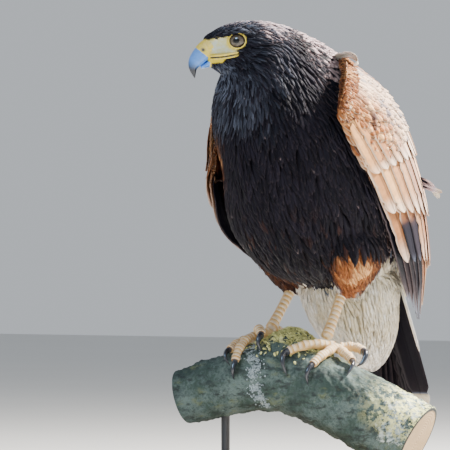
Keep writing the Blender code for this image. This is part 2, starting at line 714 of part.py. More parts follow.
def vane_paths(tier):
    """Places of a tier's shafts: along the wing, across it, and their height over it."""
    count, first, last, root, lift = tier
    turn = np.linspace(0, 1, count)[:, None]
    t = VANE_STATIONS[None, :]
    start = through(first, turn[:, 0])
    end = through(last, turn[:, 0])
    along = start[:, 0:1] + (end[:, 0:1] - start[:, 0:1]) * t
    across = start[:, 1:2] + (end[:, 1:2] - start[:, 1:2]) * t**0.8
    height = root + (lift - root) * np.clip(t / 0.3, 0, 1) + 0 * along
    return along, across, height


def union_of(name, shapes, colour, rough):
    """One object from a list of closed shapes."""
    piece = make(name, *shapes[0], colour, rough)
    rest = bpy.data.collections.new("shapes")
    for points, faces in shapes[1:]:
        other = make("shape", points, faces, colour, rough)
        parts.objects.unlink(other)
        rest.objects.link(other)
    join = piece.modifiers.new("join", "BOOLEAN")
    join.operation = "UNION"
    join.operand_type = "COLLECTION"
    join.collection = rest
    join.solver = "MANIFOLD"
    bpy.context.scene.collection.children.link(rest)
    apply_all(piece)
    for other in list(rest.objects):
        bpy.data.objects.remove(other)
    bpy.data.collections.remove(rest)
    keep_largest(piece)
    return piece


def make_wing(name, side):
    shapes = [wing_core(side)]
    for tier in WING_TIERS:
        shapes += tier_on_wing(side, tier)
    return union_of(name, shapes, (0.07, 0.045, 0.035), 0.6)


def tail_place(along, left, height):
    """A point on the tail: from root to tip, distance to the left, height towards its upper side."""
    along, left, height = np.broadcast_arrays(*(np.asarray(v, float) for v in (along, left, height)))
    held = np.clip(along, 0.0, 1.0)
    slope = through(TAIL, np.minimum(held + 1e-3, 1)) - through(TAIL, np.maximum(held - 1e-3, 0))
    run = unit(slope[..., 0:2])
    place = through(TAIL, held)[..., 0:2] + (along - held)[..., None] * run * TAIL_LENGTH
    upper = np.stack((-run[..., 1], run[..., 0]), -1)
    place = place + upper * height[..., None]
    return np.stack((left, place[..., 0], place[..., 1]), -1)


def make_tail(name):
    """Twelve tail feathers fanned a little, the middle pair uppermost, grown from one root."""
    along = np.array((-0.16, 0.0, 0.14, 0.28, 0.40))
    across, up = oval(16, 3.0)
    rows = through(TAIL, np.clip(along, 0, 1))
    left = rows[:, 2:3] * across[None, :] * 0.95
    height = np.array((0.007, 0.007, 0.0065, 0.0055, 0.0035))[:, None] * up[None, :]
    shapes = [skin_of(tail_place(along[:, None], left, height - 0.003 * across[None, :] ** 2))]
    at = np.array((0.02, 0.28, 0.55, 0.80, 0.94, 1.0))
    half = through(TAIL, at)[:, 2]
    for i in range(TAIL_FEATHERS):
        side = 1 if i % 2 else -1
        place = (i // 2 + 0.35) / (TAIL_FEATHERS / 2 - 0.5)
        reach = 1 - 0.035 * place**2
        middle = side * (half - TAIL_VANE) * place
        wide = TAIL_VANE * np.array((0.75, 0.9, 1.0, 1.0, 0.84, 0.35))
        height = 0.0050 - TAIL_STEP * i - 0.0012 * place * np.array((0, 0.5, 1, 1, 1, 1))
        low = tail_place(at * reach, middle - wide, height)
        shaft = tail_place(at * reach, middle, height + 0.0002)
        high = tail_place(at * reach, middle + wide, height)
        out = unit(tail_place(at * reach, middle, 0.001) - tail_place(at * reach, middle, 0.0))
        shapes.append(vane_of(low, shaft, high, out, np.array((6, 6, 6, 6, 5, 5)) * 1e-4))
    return union_of(name, shapes, (0.05, 0.04, 0.04), 0.6)


def tail_room(name):
    """The space round the upper tail that other feathers keep out of."""
    along = np.array((-0.20, 0.0, 0.3, 0.6, 1.02))
    across, up = oval(16, 4.0)
    left = (through(TAIL, np.clip(along, 0, 1))[:, 2:3] + 0.0015) * across[None, :]
    height = 0.0088 * up[None, :] - 0.001 * across[None, :] ** 2 + 0 * left
    return make(name, *skin_of(tail_place(along[:, None], left, height)), YELLOW)


def level_rings(stations, count, sides):
    """Flat oval rings from rows of height, x, y, half-width, half-depth."""
    rows = through(stations, spread(stations, count))
    z = spread(stations, count)
    across, along = oval(sides, 2.1)
    x = rows[:, 0:1] + rows[:, 2:3] * across[None, :]
    y = rows[:, 1:2] + rows[:, 3:4] * along[None, :]
    return np.stack((x, y, z[:, None] + 0 * x), -1)


def toe_path(rows, at):
    """Places along a toe and its claw, 0 at the palm, 1 at the toe's end, 2 at the claw's tip."""
    knots = np.array((0, 0.35, 0.7, 1.0, 1.25, 1.65, 2.0))
    table = np.column_stack((knots, np.array(rows) * (1, math.pi / 180, 1)))
    found = through(table, at)
    return perch_point(found[:, 0], found[:, 1], found[:, 2])


def make_foot(label, palm, toes, shank):
    """One foot over the branch, with its claws."""
    across, up = oval(14, 2.0)
    place = perch_point(palm[0], math.radians(palm[1]), palm[2])
    points, faces = sphere((0, 0, 0), 1.0, 14, 10)
    foot = make("foot_" + label, points * (0.0088, 0.0088, 0.0070) + place, faces, YELLOW, 0.6)
    claws = []
    for name, rows in toes.items():
        at = np.array((0, 0.20, 0.38, 0.52, 0.68, 0.82, 0.94, 1.0))
        swell = np.array((1.15, 1.02, 1.12, 0.98, 1.10, 0.96, 1.05, 0.86))
        size = 0.92 if name in ("inner", "hind") else 0.86
        ring = tube(toe_path(rows, at), TOE_RADIUS * swell * size * 1.1, 8, 1.0, (0, 0, 1))
        boolean(foot, make("toe", *ring, YELLOW), "UNION")
        at = np.linspace(0.98, 2, 8)
        thin = np.array((1.0, 1.02, 0.97, 0.88, 0.74, 0.55, 0.32, 0.06))
        ring = tube(toe_path(rows, at), CLAW_RADIUS[name] * thin, 8, 0.82, (0, 0, 1))
        claws.append(make("claw_%s_%s" % (name, label), *ring, HORN, 0.3))
    boolean(foot, perch_solid("bark", CUT_GROW), "DIFFERENCE")
    keep_largest(foot)
    for claw in claws:
        boolean(claw, copy_of(foot, "toes", CUT_GROW), "DIFFERENCE")
        boolean(claw, perch_solid("bark", CUT_GROW), "DIFFERENCE")
        keep_largest(claw)
    return foot


def make_shank(label, stations, foot_at):
    table = np.column_stack((np.array((0, 0.5, 1.0)), np.array(stations)))
    at = np.linspace(0, 1, 8)
    path = through(table, at)
    radii = SHANK_RADIUS * np.interp(at, (0, 0.15, 0.6, 0.85, 1), (1.25, 1.05, 0.98, 1.1, 1.35))
    return make("shank_" + label, *tube(path, radii, 12, 1.0, (1, 0, 0)), YELLOW, 0.6)


def copy_of(piece, name, grow=0.0):
    """A copy of a piece, pushed out along its normals."""
    copy = bpy.data.objects.new(name, piece.data.copy())
    parts.objects.link(copy)
    if grow:
        shape = bmesh.new()
        shape.from_mesh(copy.data)
        shape.normal_update()
        for vertex in shape.verts:
            vertex.co += vertex.normal * grow * vertex.calc_shell_factor()
        shape.to_mesh(copy.data)
        shape.free()
    return copy


def make_stand():
    length, depth, edge = BASE_LENGTH / 2, BASE_DEPTH / 2, BASE_BEVEL
    rings = []
    for z, inset in ((0, edge), (edge, 0), (BASE_THICK - edge, 0), (BASE_THICK, edge)):
        x, y = length - inset, depth - inset
        rings.append(
            [(x - edge * 2, -y, z), (x, -y + edge * 2, z), (x, y - edge * 2, z), (x - edge * 2, y, z),
             (-x + edge * 2, y, z), (-x, y - edge * 2, z), (-x, -y + edge * 2, z), (-x + edge * 2, -y, z)]
        )
    make("stand_base", *skin_of(np.array(rings) - FEET), OAK, 0.5)
    perch_solid("stand_perch")
    for side, label in ((1, "left"), (-1, "right")):
        foot_of = perch_point(side * ROD_REACH, 0.0, 0.0)
        x, y = foot_of[0], foot_of[1]
        path = [(x, y, BASE_THICK + GAP - FEET[2]), (x, y, -0.090), (x, y, foot_of[2] - 0.035)]
        rod = make("stand_rod_" + label, *tube(path, ROD_RADIUS, 16), (0.10, 0.10, 0.10), 0.4)
        boolean(rod, perch_solid("seat", CUT_GROW), "DIFFERENCE")
        keep_largest(rod)


for leftover in list(bpy.data.objects):
    bpy.data.objects.remove(leftover)
parts = bpy.data.collections.new("parts")
bpy.context.scene.collection.children.link(parts)

make_stand()
make_head_parts()
grown = flesh("grown_form", CUT_GROW)

for side, label in ((1, "left"), (-1, "right")):
    wing = make_wing("wing_" + label, side)
    boolean(wing, copy_of(grown, "room"), "DIFFERENCE")
    keep_largest(wing)

tail = make_tail("tail")
boolean(tail, copy_of(grown, "room"), "DIFFERENCE")
keep_largest(tail)

thighs = []
for label, rows in (("left", THIGH_LEFT), ("right", THIGH_RIGHT)):
    thigh = make("thigh_" + label, *skin_of(level_rings(rows, 12, 18)), (0.10, 0.05, 0.03))
    boolean(thigh, copy_of(grown, "room"), "DIFFERENCE")
    keep_largest(thigh)
    thighs.append(thigh)

vent = make("vent", *skin_of(level_rings(VENT, 12, 16)), (0.8, 0.78, 0.72))
boolean(vent, copy_of(grown, "room"), "DIFFERENCE")
boolean(vent, tail_room("room"), "DIFFERENCE")
for rows in (THIGH_LEFT, THIGH_RIGHT):
    wide = np.array(rows) + (0, 0, 0, CUT_GROW, CUT_GROW)
    wide[-1, 0] -= CUT_GROW
    boolean(vent, make("room", *skin_of(level_rings(wide, 12, 18)), YELLOW), "DIFFERENCE")
keep_largest(vent)

for label, rows, shank_rows, palm, toes in (
    ("left", THIGH_LEFT, SHANK_LEFT, PALM_LEFT, TOES_LEFT),
    ("right", THIGH_RIGHT, SHANK_RIGHT, PALM_RIGHT, TOES_RIGHT),
):
    foot = make_foot(label, palm, toes, shank_rows)
    shank = make_shank(label, shank_rows, palm)
    wide = np.array(rows) + (0, 0, 0, CUT_GROW, CUT_GROW)
    wide[-1, 0] -= CUT_GROW
    boolean(shank, make("room", *skin_of(level_rings(wide, 12, 18)), YELLOW), "DIFFERENCE")
    keep_largest(shank)
    boolean(shank, copy_of(foot, "room", CUT_GROW), "DIFFERENCE")
    keep_largest(shank)
    boolean(foot, perch_solid("bark", CUT_GROW), "DIFFERENCE")

bpy.data.objects.remove(grown)
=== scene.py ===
"""Harris's hawk on a cut branch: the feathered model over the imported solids.

Metres, +Z up; the hawk faces -Y and its left side is +X. Forms are worked out from FEET, the point
on the branch between the feet, and FEET is added when a mesh is made.
"""

import math
from functools import partial

import bpy
import mathutils
import numpy as np
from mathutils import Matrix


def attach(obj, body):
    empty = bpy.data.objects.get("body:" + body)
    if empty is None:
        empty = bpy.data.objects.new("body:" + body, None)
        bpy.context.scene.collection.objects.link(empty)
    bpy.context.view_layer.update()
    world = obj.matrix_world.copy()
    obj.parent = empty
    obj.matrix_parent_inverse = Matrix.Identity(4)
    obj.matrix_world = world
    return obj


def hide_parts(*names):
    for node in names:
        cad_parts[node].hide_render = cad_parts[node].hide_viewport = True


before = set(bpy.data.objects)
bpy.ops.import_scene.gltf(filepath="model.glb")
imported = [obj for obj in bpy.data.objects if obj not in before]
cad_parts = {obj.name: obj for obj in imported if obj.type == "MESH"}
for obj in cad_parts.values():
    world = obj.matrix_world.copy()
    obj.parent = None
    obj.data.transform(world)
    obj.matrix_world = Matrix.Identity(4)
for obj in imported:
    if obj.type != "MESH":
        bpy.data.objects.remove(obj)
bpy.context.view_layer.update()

FEET = np.array((0.0, -0.020, 0.150))
UP = np.array((0.0, 0.0, 1.0))
SIDES = (("left", 1), ("right", -1))

# The perch: its ways along and back, its middle, then rows of distance along, height of the middle, radius
PERCH_YAW = math.radians(18)
PERCH_RUN = np.array((math.cos(PERCH_YAW), math.sin(PERCH_YAW), 0.0))
PERCH_BACK = np.array((-math.sin(PERCH_YAW), math.cos(PERCH_YAW), 0.0))
PERCH_MIDDLE = np.array((0.0, -0.012, 0.0))
PERCH = (
    (-0.104, -0.048, 0.0250),
    (-0.060, -0.037, 0.0275),
    (-0.030, -0.030, 0.0300),
    (0.000, -0.031, 0.0310),
    (0.030, -0.041, 0.0325),
    (0.060, -0.054, 0.0335),
    (0.090, -0.070, 0.0345),
    (0.121, -0.086, 0.0350),
)
# The knob between the feet: place, spread along, spread around, turn to the back, height
KNOB = (-0.004, 0.017, 0.55, 0.20, 0.015)

# Trunk sections: along, breast point (y, z), back point (y, z), half-width
TRUNK = (
    (0.0, -0.078, 0.262, -0.058, 0.2935, 0.014),
    (0.6, -0.086, 0.248, -0.036, 0.2905, 0.028),
    (1.4, -0.090, 0.232, 0.002, 0.2785, 0.043),
    (2.4, -0.093, 0.210, 0.046, 0.256, 0.060),
    (3.4, -0.093, 0.180, 0.082, 0.222, 0.074),
    (4.4, -0.082, 0.145, 0.104, 0.184, 0.079),
    (5.4, -0.060, 0.110, 0.114, 0.146, 0.077),
    (6.2, -0.034, 0.084, 0.118, 0.112, 0.068),
    (6.9, -0.004, 0.064, 0.119, 0.086, 0.056),
    (7.4, 0.030, 0.054, 0.116, 0.068, 0.040),
)
TRUNK_SQUARE = 2.3
# The right breast is drawn in where the right wing lies over it: depth, place and spread along the trunk
WING_BED = 0.0145
WING_BED_AT = 4.1
WING_BED_SPREAD = 1.3
# Rightwards in the photo's picture, on the ground (x, y)
PICTURE_RIGHT = (0.79, 0.61)

HEAD_PLACE = np.array((-0.017, -0.069, 0.276))
HEAD_YAW = math.radians(51)
HEAD_DIP = math.radians(3)
# Head sections: distance forward, half-width, crown height, chin height
HEAD = (
    (-0.037, 0.0090, 0.0085, -0.0140),
    (-0.032, 0.0155, 0.0128, -0.0230),
    (-0.022, 0.0215, 0.0155, -0.0300),
    (-0.010, 0.0238, 0.0164, -0.0330),
    (0.002, 0.0222, 0.0157, -0.0340),
    (0.012, 0.0178, 0.0133, -0.0325),
    (0.021, 0.0130, 0.0090, -0.0262),
    (0.027, 0.0102, 0.0036, -0.0218),
)
HEAD_SQUARE = 2.3
# How far the brow stands out, and how deep the hollow before the eye is
BROW_OUT = 0.0026
HOLLOW_IN = 0.0022

# Eyes: radius, middle out, back and up in the head's frame, height to width, turn forward of straight out
EYE_RADIUS = 0.0093
EYE_OUT = 0.0158
EYE_BACK = -0.0013
EYE_UP = -0.0016
EYE_FLAT = 0.87
EYE_FORWARD = math.radians(14)
# The ring round an eye: distance out from its middle, radius; SOCKET is how far out skin may stand there
LID_OUT = 0.0052
LID_RADIUS = 0.0078
LID_THICK = 0.00045
SOCKET = 0.0047
SOCKET_SLOPE = 0.45

# Brow ridges: along, forward, left, up, radius; mouth corners: along, forward, left, up
BROW = (
    (0.0, 0.0215, 0.0122, 0.0034, 0.0011),
    (0.35, 0.0125, 0.0182, 0.0056, 0.0020),
    (0.65, 0.0015, 0.0228, 0.0080, 0.0024),
    (1.0, -0.0100, 0.0226, 0.0062, 0.0012),
)
MOUTH = (
    (0.0, 0.0245, 0.0112, -0.0148),
    (0.5, 0.0120, 0.0176, -0.0146),
    (1.0, -0.0008, 0.0216, -0.0130),
)
# Forehead feathers reach over the bill's root: along, forward, height of the top, radius
FOREHEAD = (
    (0.0, 0.0160, 0.0098, 0.0080),
    (0.4, 0.0240, 0.0060, 0.0064),
    (0.8, 0.0285, 0.0029, 0.0046),
    (1.0, 0.0308, 0.0010, 0.0028),
)
# The upper edge of the bare lores: distance forward, height
LORE_TOP = (
    (-0.0200, 0.0052),
    (0.0060, 0.0050),
    (0.0127, 0.0036),
    (0.0200, 0.0024),
    (0.0245, 0.0014),
    (0.0285, -0.0008),
    (0.0340, -0.0018),
)
# Their lower edge: distance forward, height. Their rear edge: height, distance forward.
# How soft the edges are
LORE_LOW = ((0.0100, -0.0160), (0.0140, -0.0203))
LORE_REAR = ((-0.0180, 0.0040), (-0.0138, -0.0002), (-0.0084, 0.0022), (0.0, 0.0040))
LORE_SOFT = 0.0008

# Upper bill: along, ridge point (forward, up), edge point (forward, up), half-width
BILL = (
    (0.0, 0.0220, 0.0060, 0.0150, -0.0128, 0.0108),
    (1.0, 0.0290, 0.0018, 0.0205, -0.0136, 0.0098),
    (2.0, 0.0350, -0.0030, 0.0255, -0.0165, 0.0086),
    (3.0, 0.0400, -0.0085, 0.0305, -0.0202, 0.0072),
    (4.0, 0.0437, -0.0148, 0.0342, -0.0224, 0.0056),
    (5.0, 0.0446, -0.0215, 0.0370, -0.0245, 0.0038),
    (6.0, 0.0425, -0.0280, 0.0384, -0.0286, 0.0020),
    (6.6, 0.0398, -0.0326, 0.0392, -0.0324, 0.0005),
)
# Lower bill: along, upper edge point, keel point, half-width
JAW = (
    (0.0, 0.0100, -0.0142, 0.0100, -0.0220, 0.0090),
    (1.0, 0.0195, -0.0143, 0.0190, -0.0228, 0.0084),
    (2.0, 0.0250, -0.0164, 0.0255, -0.0234, 0.0068),
    (3.0, 0.0300, -0.0197, 0.0305, -0.0242, 0.0050),
    (3.6, 0.0335, -0.0219, 0.0336, -0.0243, 0.0018),
)
# A point on the line where the cere ends (forward, up), the way across that line, and a nostril's middle
CERE_EDGE = (0.0312, -0.0108)
CERE_LEAN = (0.66, -0.75)
NOSTRIL = (0.0308, 0.0093, -0.0078)
BILL_RINGS = 72
BILL_SIDES = 56
BILL_NARROW = 0.22
JAW_RINGS = 40
JAW_SIDES = 40
JAW_NARROW = -0.15

# Wings: along, then leading edge, outer corner and trailing edge as x, y, z
WING = (
    (0.00, 0.080, -0.046, 0.207, 0.086, -0.028, 0.262, 0.026, 0.022, 0.266),
    (0.25, 0.086, -0.026, 0.173, 0.102, 0.049, 0.224, 0.015, 0.089, 0.212),
    (0.50, 0.085, 0.009, 0.132, 0.098, 0.097, 0.167, 0.010, 0.120, 0.165),
    (0.70, 0.079, 0.042, 0.094, 0.089, 0.123, 0.118, 0.013, 0.132, 0.118),
    (0.85, 0.066, 0.076, 0.058, 0.075, 0.131, 0.076, 0.027, 0.138, 0.076),
    (1.00, 0.050, 0.112, 0.018, 0.054, 0.129, 0.024, 0.038, 0.136, 0.028),
)
WING_RIGHT = (
    (0.00, 0.055, -0.055, 0.200, 0.085, -0.013, 0.258, 0.026, 0.026, 0.268),
    (0.25, 0.050, -0.061, 0.170, 0.120, 0.032, 0.223, 0.017, 0.090, 0.218),
    (0.50, 0.061, -0.049, 0.136, 0.121, 0.075, 0.172, 0.012, 0.119, 0.166),
    (0.70, 0.080, 0.001, 0.096, 0.100, 0.112, 0.120, 0.014, 0.132, 0.119),
    (0.85, 0.071, 0.068, 0.058, 0.080, 0.126, 0.076, 0.027, 0.136, 0.076),
    (1.00, 0.050, 0.112, 0.018, 0.054, 0.129, 0.024, 0.038, 0.136, 0.028),
)

# Tail: along, middle (y, z), half-width
TAIL = (
    (0.0, 0.106, 0.116, 0.020),
    (0.3, 0.126, 0.062, 0.026),
    (0.6, 0.142, 0.005, 0.035),
    (1.0, 0.163, -0.066, 0.045),
)
TAIL_LENGTH = 0.190

# Under-tail coverts: height, middle x and y, half-width, half-depth
VENT = (
    (0.078, 0.0, 0.066, 0.034, 0.030),
    (0.062, 0.0, 0.074, 0.047, 0.044),
    (0.034, 0.0, 0.081, 0.046, 0.044),
    (0.012, 0.0, 0.089, 0.040, 0.038),
    (-0.008, 0.0, 0.099, 0.027, 0.027),
    (-0.020, 0.0, 0.108, 0.014, 0.014),
    (-0.025, 0.0, 0.114, 0.004, 0.004),
)
# Thighs: height, middle x and y, half-width, half-depth
THIGH_LEFT = (
    (0.118, 0.042, 0.012, 0.020, 0.030),
    (0.088, 0.044, 0.020, 0.027, 0.034),
    (0.068, 0.041, 0.028, 0.022, 0.028),
    (0.054, 0.034, 0.035, 0.015, 0.018),
    (0.045, 0.030, 0.037, 0.010, 0.011),
)
THIGH_RIGHT = (
    (0.118, -0.031, 0.014, 0.017, 0.028),
    (0.088, -0.033, 0.018, 0.020, 0.032),
    (0.068, -0.032, 0.026, 0.018, 0.027),
    (0.054, -0.031, 0.033, 0.013, 0.017),
    (0.047, -0.030, 0.036, 0.009, 0.010),
)
# Shanks: places from the thigh to the foot
SHANK_RADIUS = 0.0047
SHANK_LEFT = ((0.0265, 0.0370, 0.058), (0.0270, 0.0220, 0.032), (0.0270, 0.0060, 0.006))
SHANK_RIGHT = ((-0.0300, 0.0370, 0.060), (-0.0300, 0.0180, 0.037), (-0.0300, -0.0030, 0.013))

# Palms, and toes from the palm to the claw's tip: along the branch, degrees from its crest, height over it
TOE_RADIUS = 0.0043
TOE_SINK = 0.0004  # how far the toes settle towards the bark
PALM_HALF = (0.0088, 0.0088, 0.0068)
CLAW_FROM = 0.97  # where the claw starts on its toe's path
PALM_LEFT = (0.0280, 9.0, 0.0085)
PALM_RIGHT = (-0.0315, 20.0, 0.0085)
TOES_LEFT = {
    "inner": ((0.0250, 4, 0.0085), (0.0160, -12, 0.0065), (0.0080, -28, 0.0055), (0.0015, -42, 0.0050),
              (0.0000, -50, 0.0072), (0.0020, -66, 0.0085), (0.0068, -80, 0.0030)),
    "middle": ((0.0275, 4, 0.0085), (0.0265, -14, 0.0058), (0.0245, -33, 0.0050), (0.0230, -50, 0.0050),
               (0.0225, -57, 0.0066), (0.0235, -70, 0.0072), (0.0270, -82, 0.0024)),
    "outer": ((0.0300, 6, 0.0085), (0.0370, -3, 0.0080), (0.0430, -8, 0.0070), (0.0470, -12, 0.0055),
              (0.0490, -18, 0.0066), (0.0510, -30, 0.0066), (0.0505, -42, 0.0024)),
    "hind": ((0.0300, 14, 0.0105), (0.0365, 17, 0.0150), (0.0420, 17, 0.0165), (0.0470, 14, 0.0155),
             (0.0500, 10, 0.0145), (0.0520, 4, 0.0085), (0.0495, -2, 0.0026)),
}
TOES_RIGHT = {
    "inner": ((-0.0300, 16, 0.0095), (-0.0275, 3, 0.0115), (-0.0245, -10, 0.0120), (-0.0215, -20, 0.0100),
              (-0.0213, -27, 0.0110), (-0.0215, -36, 0.0095), (-0.0195, -42, 0.0030)),
    "middle": ((-0.0320, 14, 0.0085), (-0.0345, -12, 0.0058), (-0.0365, -36, 0.0050), (-0.0385, -58, 0.0050),
               (-0.0392, -65, 0.0066), (-0.0410, -77, 0.0072), (-0.0430, -88, 0.0024)),
    "outer": ((-0.0335, 17, 0.0085), (-0.0385, 3, 0.0065), (-0.0425, -12, 0.0052), (-0.0450, -27, 0.0050),
              (-0.0462, -33, 0.0066), (-0.0468, -47, 0.0070), (-0.0450, -58, 0.0024)),
    "hind": ((-0.0300, 24, 0.0105), (-0.0245, 27, 0.0140), (-0.0195, 31, 0.0145), (-0.0150, 38, 0.0120),
             (-0.0135, 44, 0.0115), (-0.0115, 57, 0.0090), (-0.0105, 70, 0.0030)),
}
CLAW_RADIUS = {"inner": 0.0034, "middle": 0.0029, "outer": 0.0027, "hind": 0.0036}

# The wing's solid shoulder and forearm: along, top height, underside height
SHOULDER = (
    (0.00, 0.0005, -0.0040),
    (0.05, 0.0035, -0.0060),
    (0.12, 0.0052, -0.0070),
    (0.20, 0.0044, -0.0075),
    (0.29, 0.0026, -0.0075),
    (0.37, 0.0008, -0.0070),
    (0.44, -0.0012, -0.0055),
)
SHOULDER_POWER = 0.35
SHOULDER_EDGE = 0.0012

# Tiers of wing feathers: how many; roots and tips as rows of turn, along, across; heights at root and end
PRIMARIES = (
    9,
    ((0, 0.38, 0.03), (1, 0.38, 0.26)),
    ((0, 0.93, 0.02), (0.45, 1.00, 0.28), (1, 0.92, 0.84)),
    (-0.0030, -0.0032),
)
SECONDARIES = (
    12,
    ((0, 0.30, 0.07), (1, 0.30, 0.94)),
    ((0, 0.79, 0.06), (0.5, 0.84, 0.50), (1, 0.90, 0.93)),
    (-0.0006, 0.0),
)
GREATER_COVERTS = (
    13,
    ((0, 0.18, 0.06), (1, 0.16, 0.95)),
    ((0, 0.58, 0.05), (0.5, 0.68, 0.50), (1, 0.66, 0.96)),
    (0.0018, 0.0030),
)
MEDIAN_COVERTS = (
    15,
    ((0, 0.10, 0.05), (1, 0.09, 0.96)),
    ((0, 0.38, 0.05), (0.6, 0.45, 0.60), (1, 0.50, 0.96)),
    (0.0036, 0.0052),
)
# Secondaries of the left wing, counted from its front, painted dark at the tip as shadow in a gap between
# feather groups
SHADOW_TIPPED = (1, 2)

FLESH = ("head", "neck", "torso", "vent", "thigh_left", "thigh_right")
SKIN_VOXEL = 0.0017
# How far the skin stands inside the solids, for the coat to fill
TRUNK_COAT = 0.0026
HEAD_COAT = 0.0010
VENT_COAT = 0.0035
THIGH_COAT = 0.0020
# Random places tried for feathers, the gap between them on thighs and under the tail, its steps elsewhere
COAT_DRAWS = 260000
LOOSE_GAP = 0.0027
GAP_STEP = 0.0003
# How near the eye's middle and its line of sight a feather may grow
EYE_CLEAR = 0.0094
RING_CLEAR = 0.0087
# The bill's root, where none grow: how far forward it starts, its lower and upper height
BILL_FROM = 0.026
BILL_UNDER = -0.0205
BILL_OVER = 0.0002
# Gap between feathers to their length; how bare skin may be and still grow them
GAP_SHARE = 0.23
BARE_FROM = 0.75
# Heights of the top of the thighs' and the under-tail's own feathers
THIGH_TOP = 0.098
VENT_TOP = 0.066
# Feathers shorter than this belong to the head; a leaning line parts breast and back
HEAD_LENGTH = 0.0092
FRONT_LEAN = 0.55
FRONT_HEIGHT = 0.18
# Feather lengths under the tail, on the thighs and on the tail's root
VENT_LENGTH = 0.0260
THIGH_LENGTH = 0.0115
ROOT_LENGTH = 0.022
# The tail's root: random places tried, height under which it is bare, gap between feathers
ROOT_DRAWS = 9000
ROOT_BARE = 0.068
ROOT_GAP = 0.0030
# The sunlit patch of the left thigh: middle and reach
SUNNY_THIGH = (0.065, 0.010, 0.0650)
SUNNY_REACH = (0.014, 0.017, 0.020)

# Colours, as linear red, green and blue
# The dark browns are tinted blue: their own colour with a painted bluish sky sheen.
CHOCOLATE = (0.0045, 0.0043, 0.0084)
UMBER = (0.0155, 0.0134, 0.0225)
CHESTNUT = (0.210, 0.062, 0.020)
RUSSET = (0.600, 0.245, 0.085)
# The pale edges of dark feathers are tinted mauve: worn edges with a painted blue-grey sky sheen.
TAN = (0.710, 0.560, 0.580)
SAND = (0.420, 0.310, 0.320)
# Chestnut as painted in sunlight, used on sunlit feathers and on randomly paler ones.
PEACH = (0.890, 0.500, 0.220)
EDGE_CREAM = (0.930, 0.770, 0.580)
WHITE = (0.870, 0.880, 0.890)
CREAM = (0.580, 0.510, 0.370)
# A painted bluish sky sheen, mixed into dark feathers that carry a little white.
PAINTED_SKY_SHEEN = (0.440, 0.530, 0.740)
YELLOW = (0.760, 0.590, 0.035)
LORE = (0.600, 0.600, 0.330)
LORE_GREY = (0.580, 0.640, 0.560)
HORN_BLUE = (0.045, 0.180, 0.600)
HORN_DARK = (0.022, 0.026, 0.036)
BARK = (0.034, 0.057, 0.047)
BARK_PALE = (0.108, 0.150, 0.142)
BARK_DARK = (0.017, 0.021, 0.020)
MOSS = (0.940, 0.930, 0.420)
LICHEN = (0.260, 0.330, 0.340)
TIMBER = (0.420, 0.290, 0.160)

rng = np.random.default_rng(11)


def through(stations, at):
    """Cubic curve through rows whose first column is the parameter, read at given places."""
    table = np.array(stations, float)
    x, y = table[:, 0], table[:, 1:]
    at = np.asarray(at, float)
    if x[0] > x[-1]:
        x, y, at = -x, y, -at
    slope = np.gradient(y, x, axis=0)
    at = np.clip(at, x[0], x[-1])
    i = np.clip(np.searchsorted(x, at, side="right") - 1, 0, len(x) - 2)
    step = (x[i + 1] - x[i])[..., None]
    t = (at - x[i])[..., None] / step
    return (
        (2 * t**3 - 3 * t**2 + 1) * y[i]
        + (t**3 - 2 * t**2 + t) * step * slope[i]
        + (3 * t**2 - 2 * t**3) * y[i + 1]
        + (t**3 - t**2) * step * slope[i + 1]
    )


def unit(v):
    """Vectors scaled to length one."""
    return v / np.maximum(np.linalg.norm(v, axis=-1, keepdims=True), 1e-12)


def fade(x, low, high):
    """Smooth step from 0 at low to 1 at high."""
    t = np.clip((x - low) / (high - low), 0, 1)
    return t * t * (3 - 2 * t)


def bell(x, spread):
    """Bell curve: 1 at 0, falling away over a spread to either side."""
    return np.exp(-((x / spread) ** 2))


def signed_power(value, power):
    """A power of the size, with the value's sign kept."""
    return np.sign(value) * np.abs(value) ** power


def ripple(points, size, seed):
    """Smooth noise, about -1 to 1: a sum of nine sine waves in seeded directions, size metres long."""
    draw = np.random.default_rng(seed)
    ways = unit(draw.normal(size=(9, 3))) * 2 * math.pi / size * draw.uniform(0.6, 1.7, (9, 1))
    return np.sin(points @ ways.T + draw.uniform(0, 6.3, 9)).sum(-1) / 3.6


def rough_noise(points, size, seed, octaves=3):
    """Ripples of halving size and strength, summed."""
    return sum(ripple(points, size / 2**k, seed + k) / 2**k for k in range(octaves))


def put_values(mesh, values):
    """Values kept at each of a mesh's points, for its material."""
    for label, amounts in values.items():
        column = mesh.attributes.new(label, "FLOAT", "POINT")
        column.data.foreach_set("value", amounts.astype(np.float32))


def put_points(mesh, points):
    """Sets a mesh's points, moved from the feet's frame to the world."""
    mesh.vertices.foreach_set("co", (points + FEET).astype(np.float32).ravel())


def points_of(mesh):
    """A mesh's points in the world."""
    places = np.empty(len(mesh.vertices) * 3, np.float32)
    mesh.vertices.foreach_get("co", places)
    return places.reshape(-1, 3).astype(float)


def placed(name, data):
    """A new object in the scene."""
    made = bpy.data.objects.new(name, data)
    bpy.context.scene.collection.objects.link(made)
    return made


def mesh_of(name, shape):
    """A mesh from a shape's arrays, with its UV maps and its values given point by point."""
    points, groups = shape["points"], shape["faces"]
    loops = np.concatenate([g.ravel() for g in groups]).astype(np.int32)
    sizes = np.concatenate([np.full(len(g), g.shape[1]) for g in groups]).astype(np.int32)
    mesh = bpy.data.meshes.new(name)
    mesh.vertices.add(len(points))
    put_points(mesh, points)
    mesh.loops.add(len(loops))
    mesh.loops.foreach_set("vertex_index", loops)
    mesh.polygons.add(len(sizes))
    mesh.polygons.foreach_set("loop_start", np.cumsum(sizes, dtype=np.int32) - sizes)
    mesh.polygons.foreach_set("use_smooth", np.ones(len(sizes), bool))
    for label, places in shape["maps"].items():
        layer = mesh.uv_layers.new(name=label)
        layer.data.foreach_set("uv", places[loops].astype(np.float32).ravel())
    put_values(mesh, shape["values"])
    mesh.update(calc_edges=True)
    mesh.validate()
    return mesh


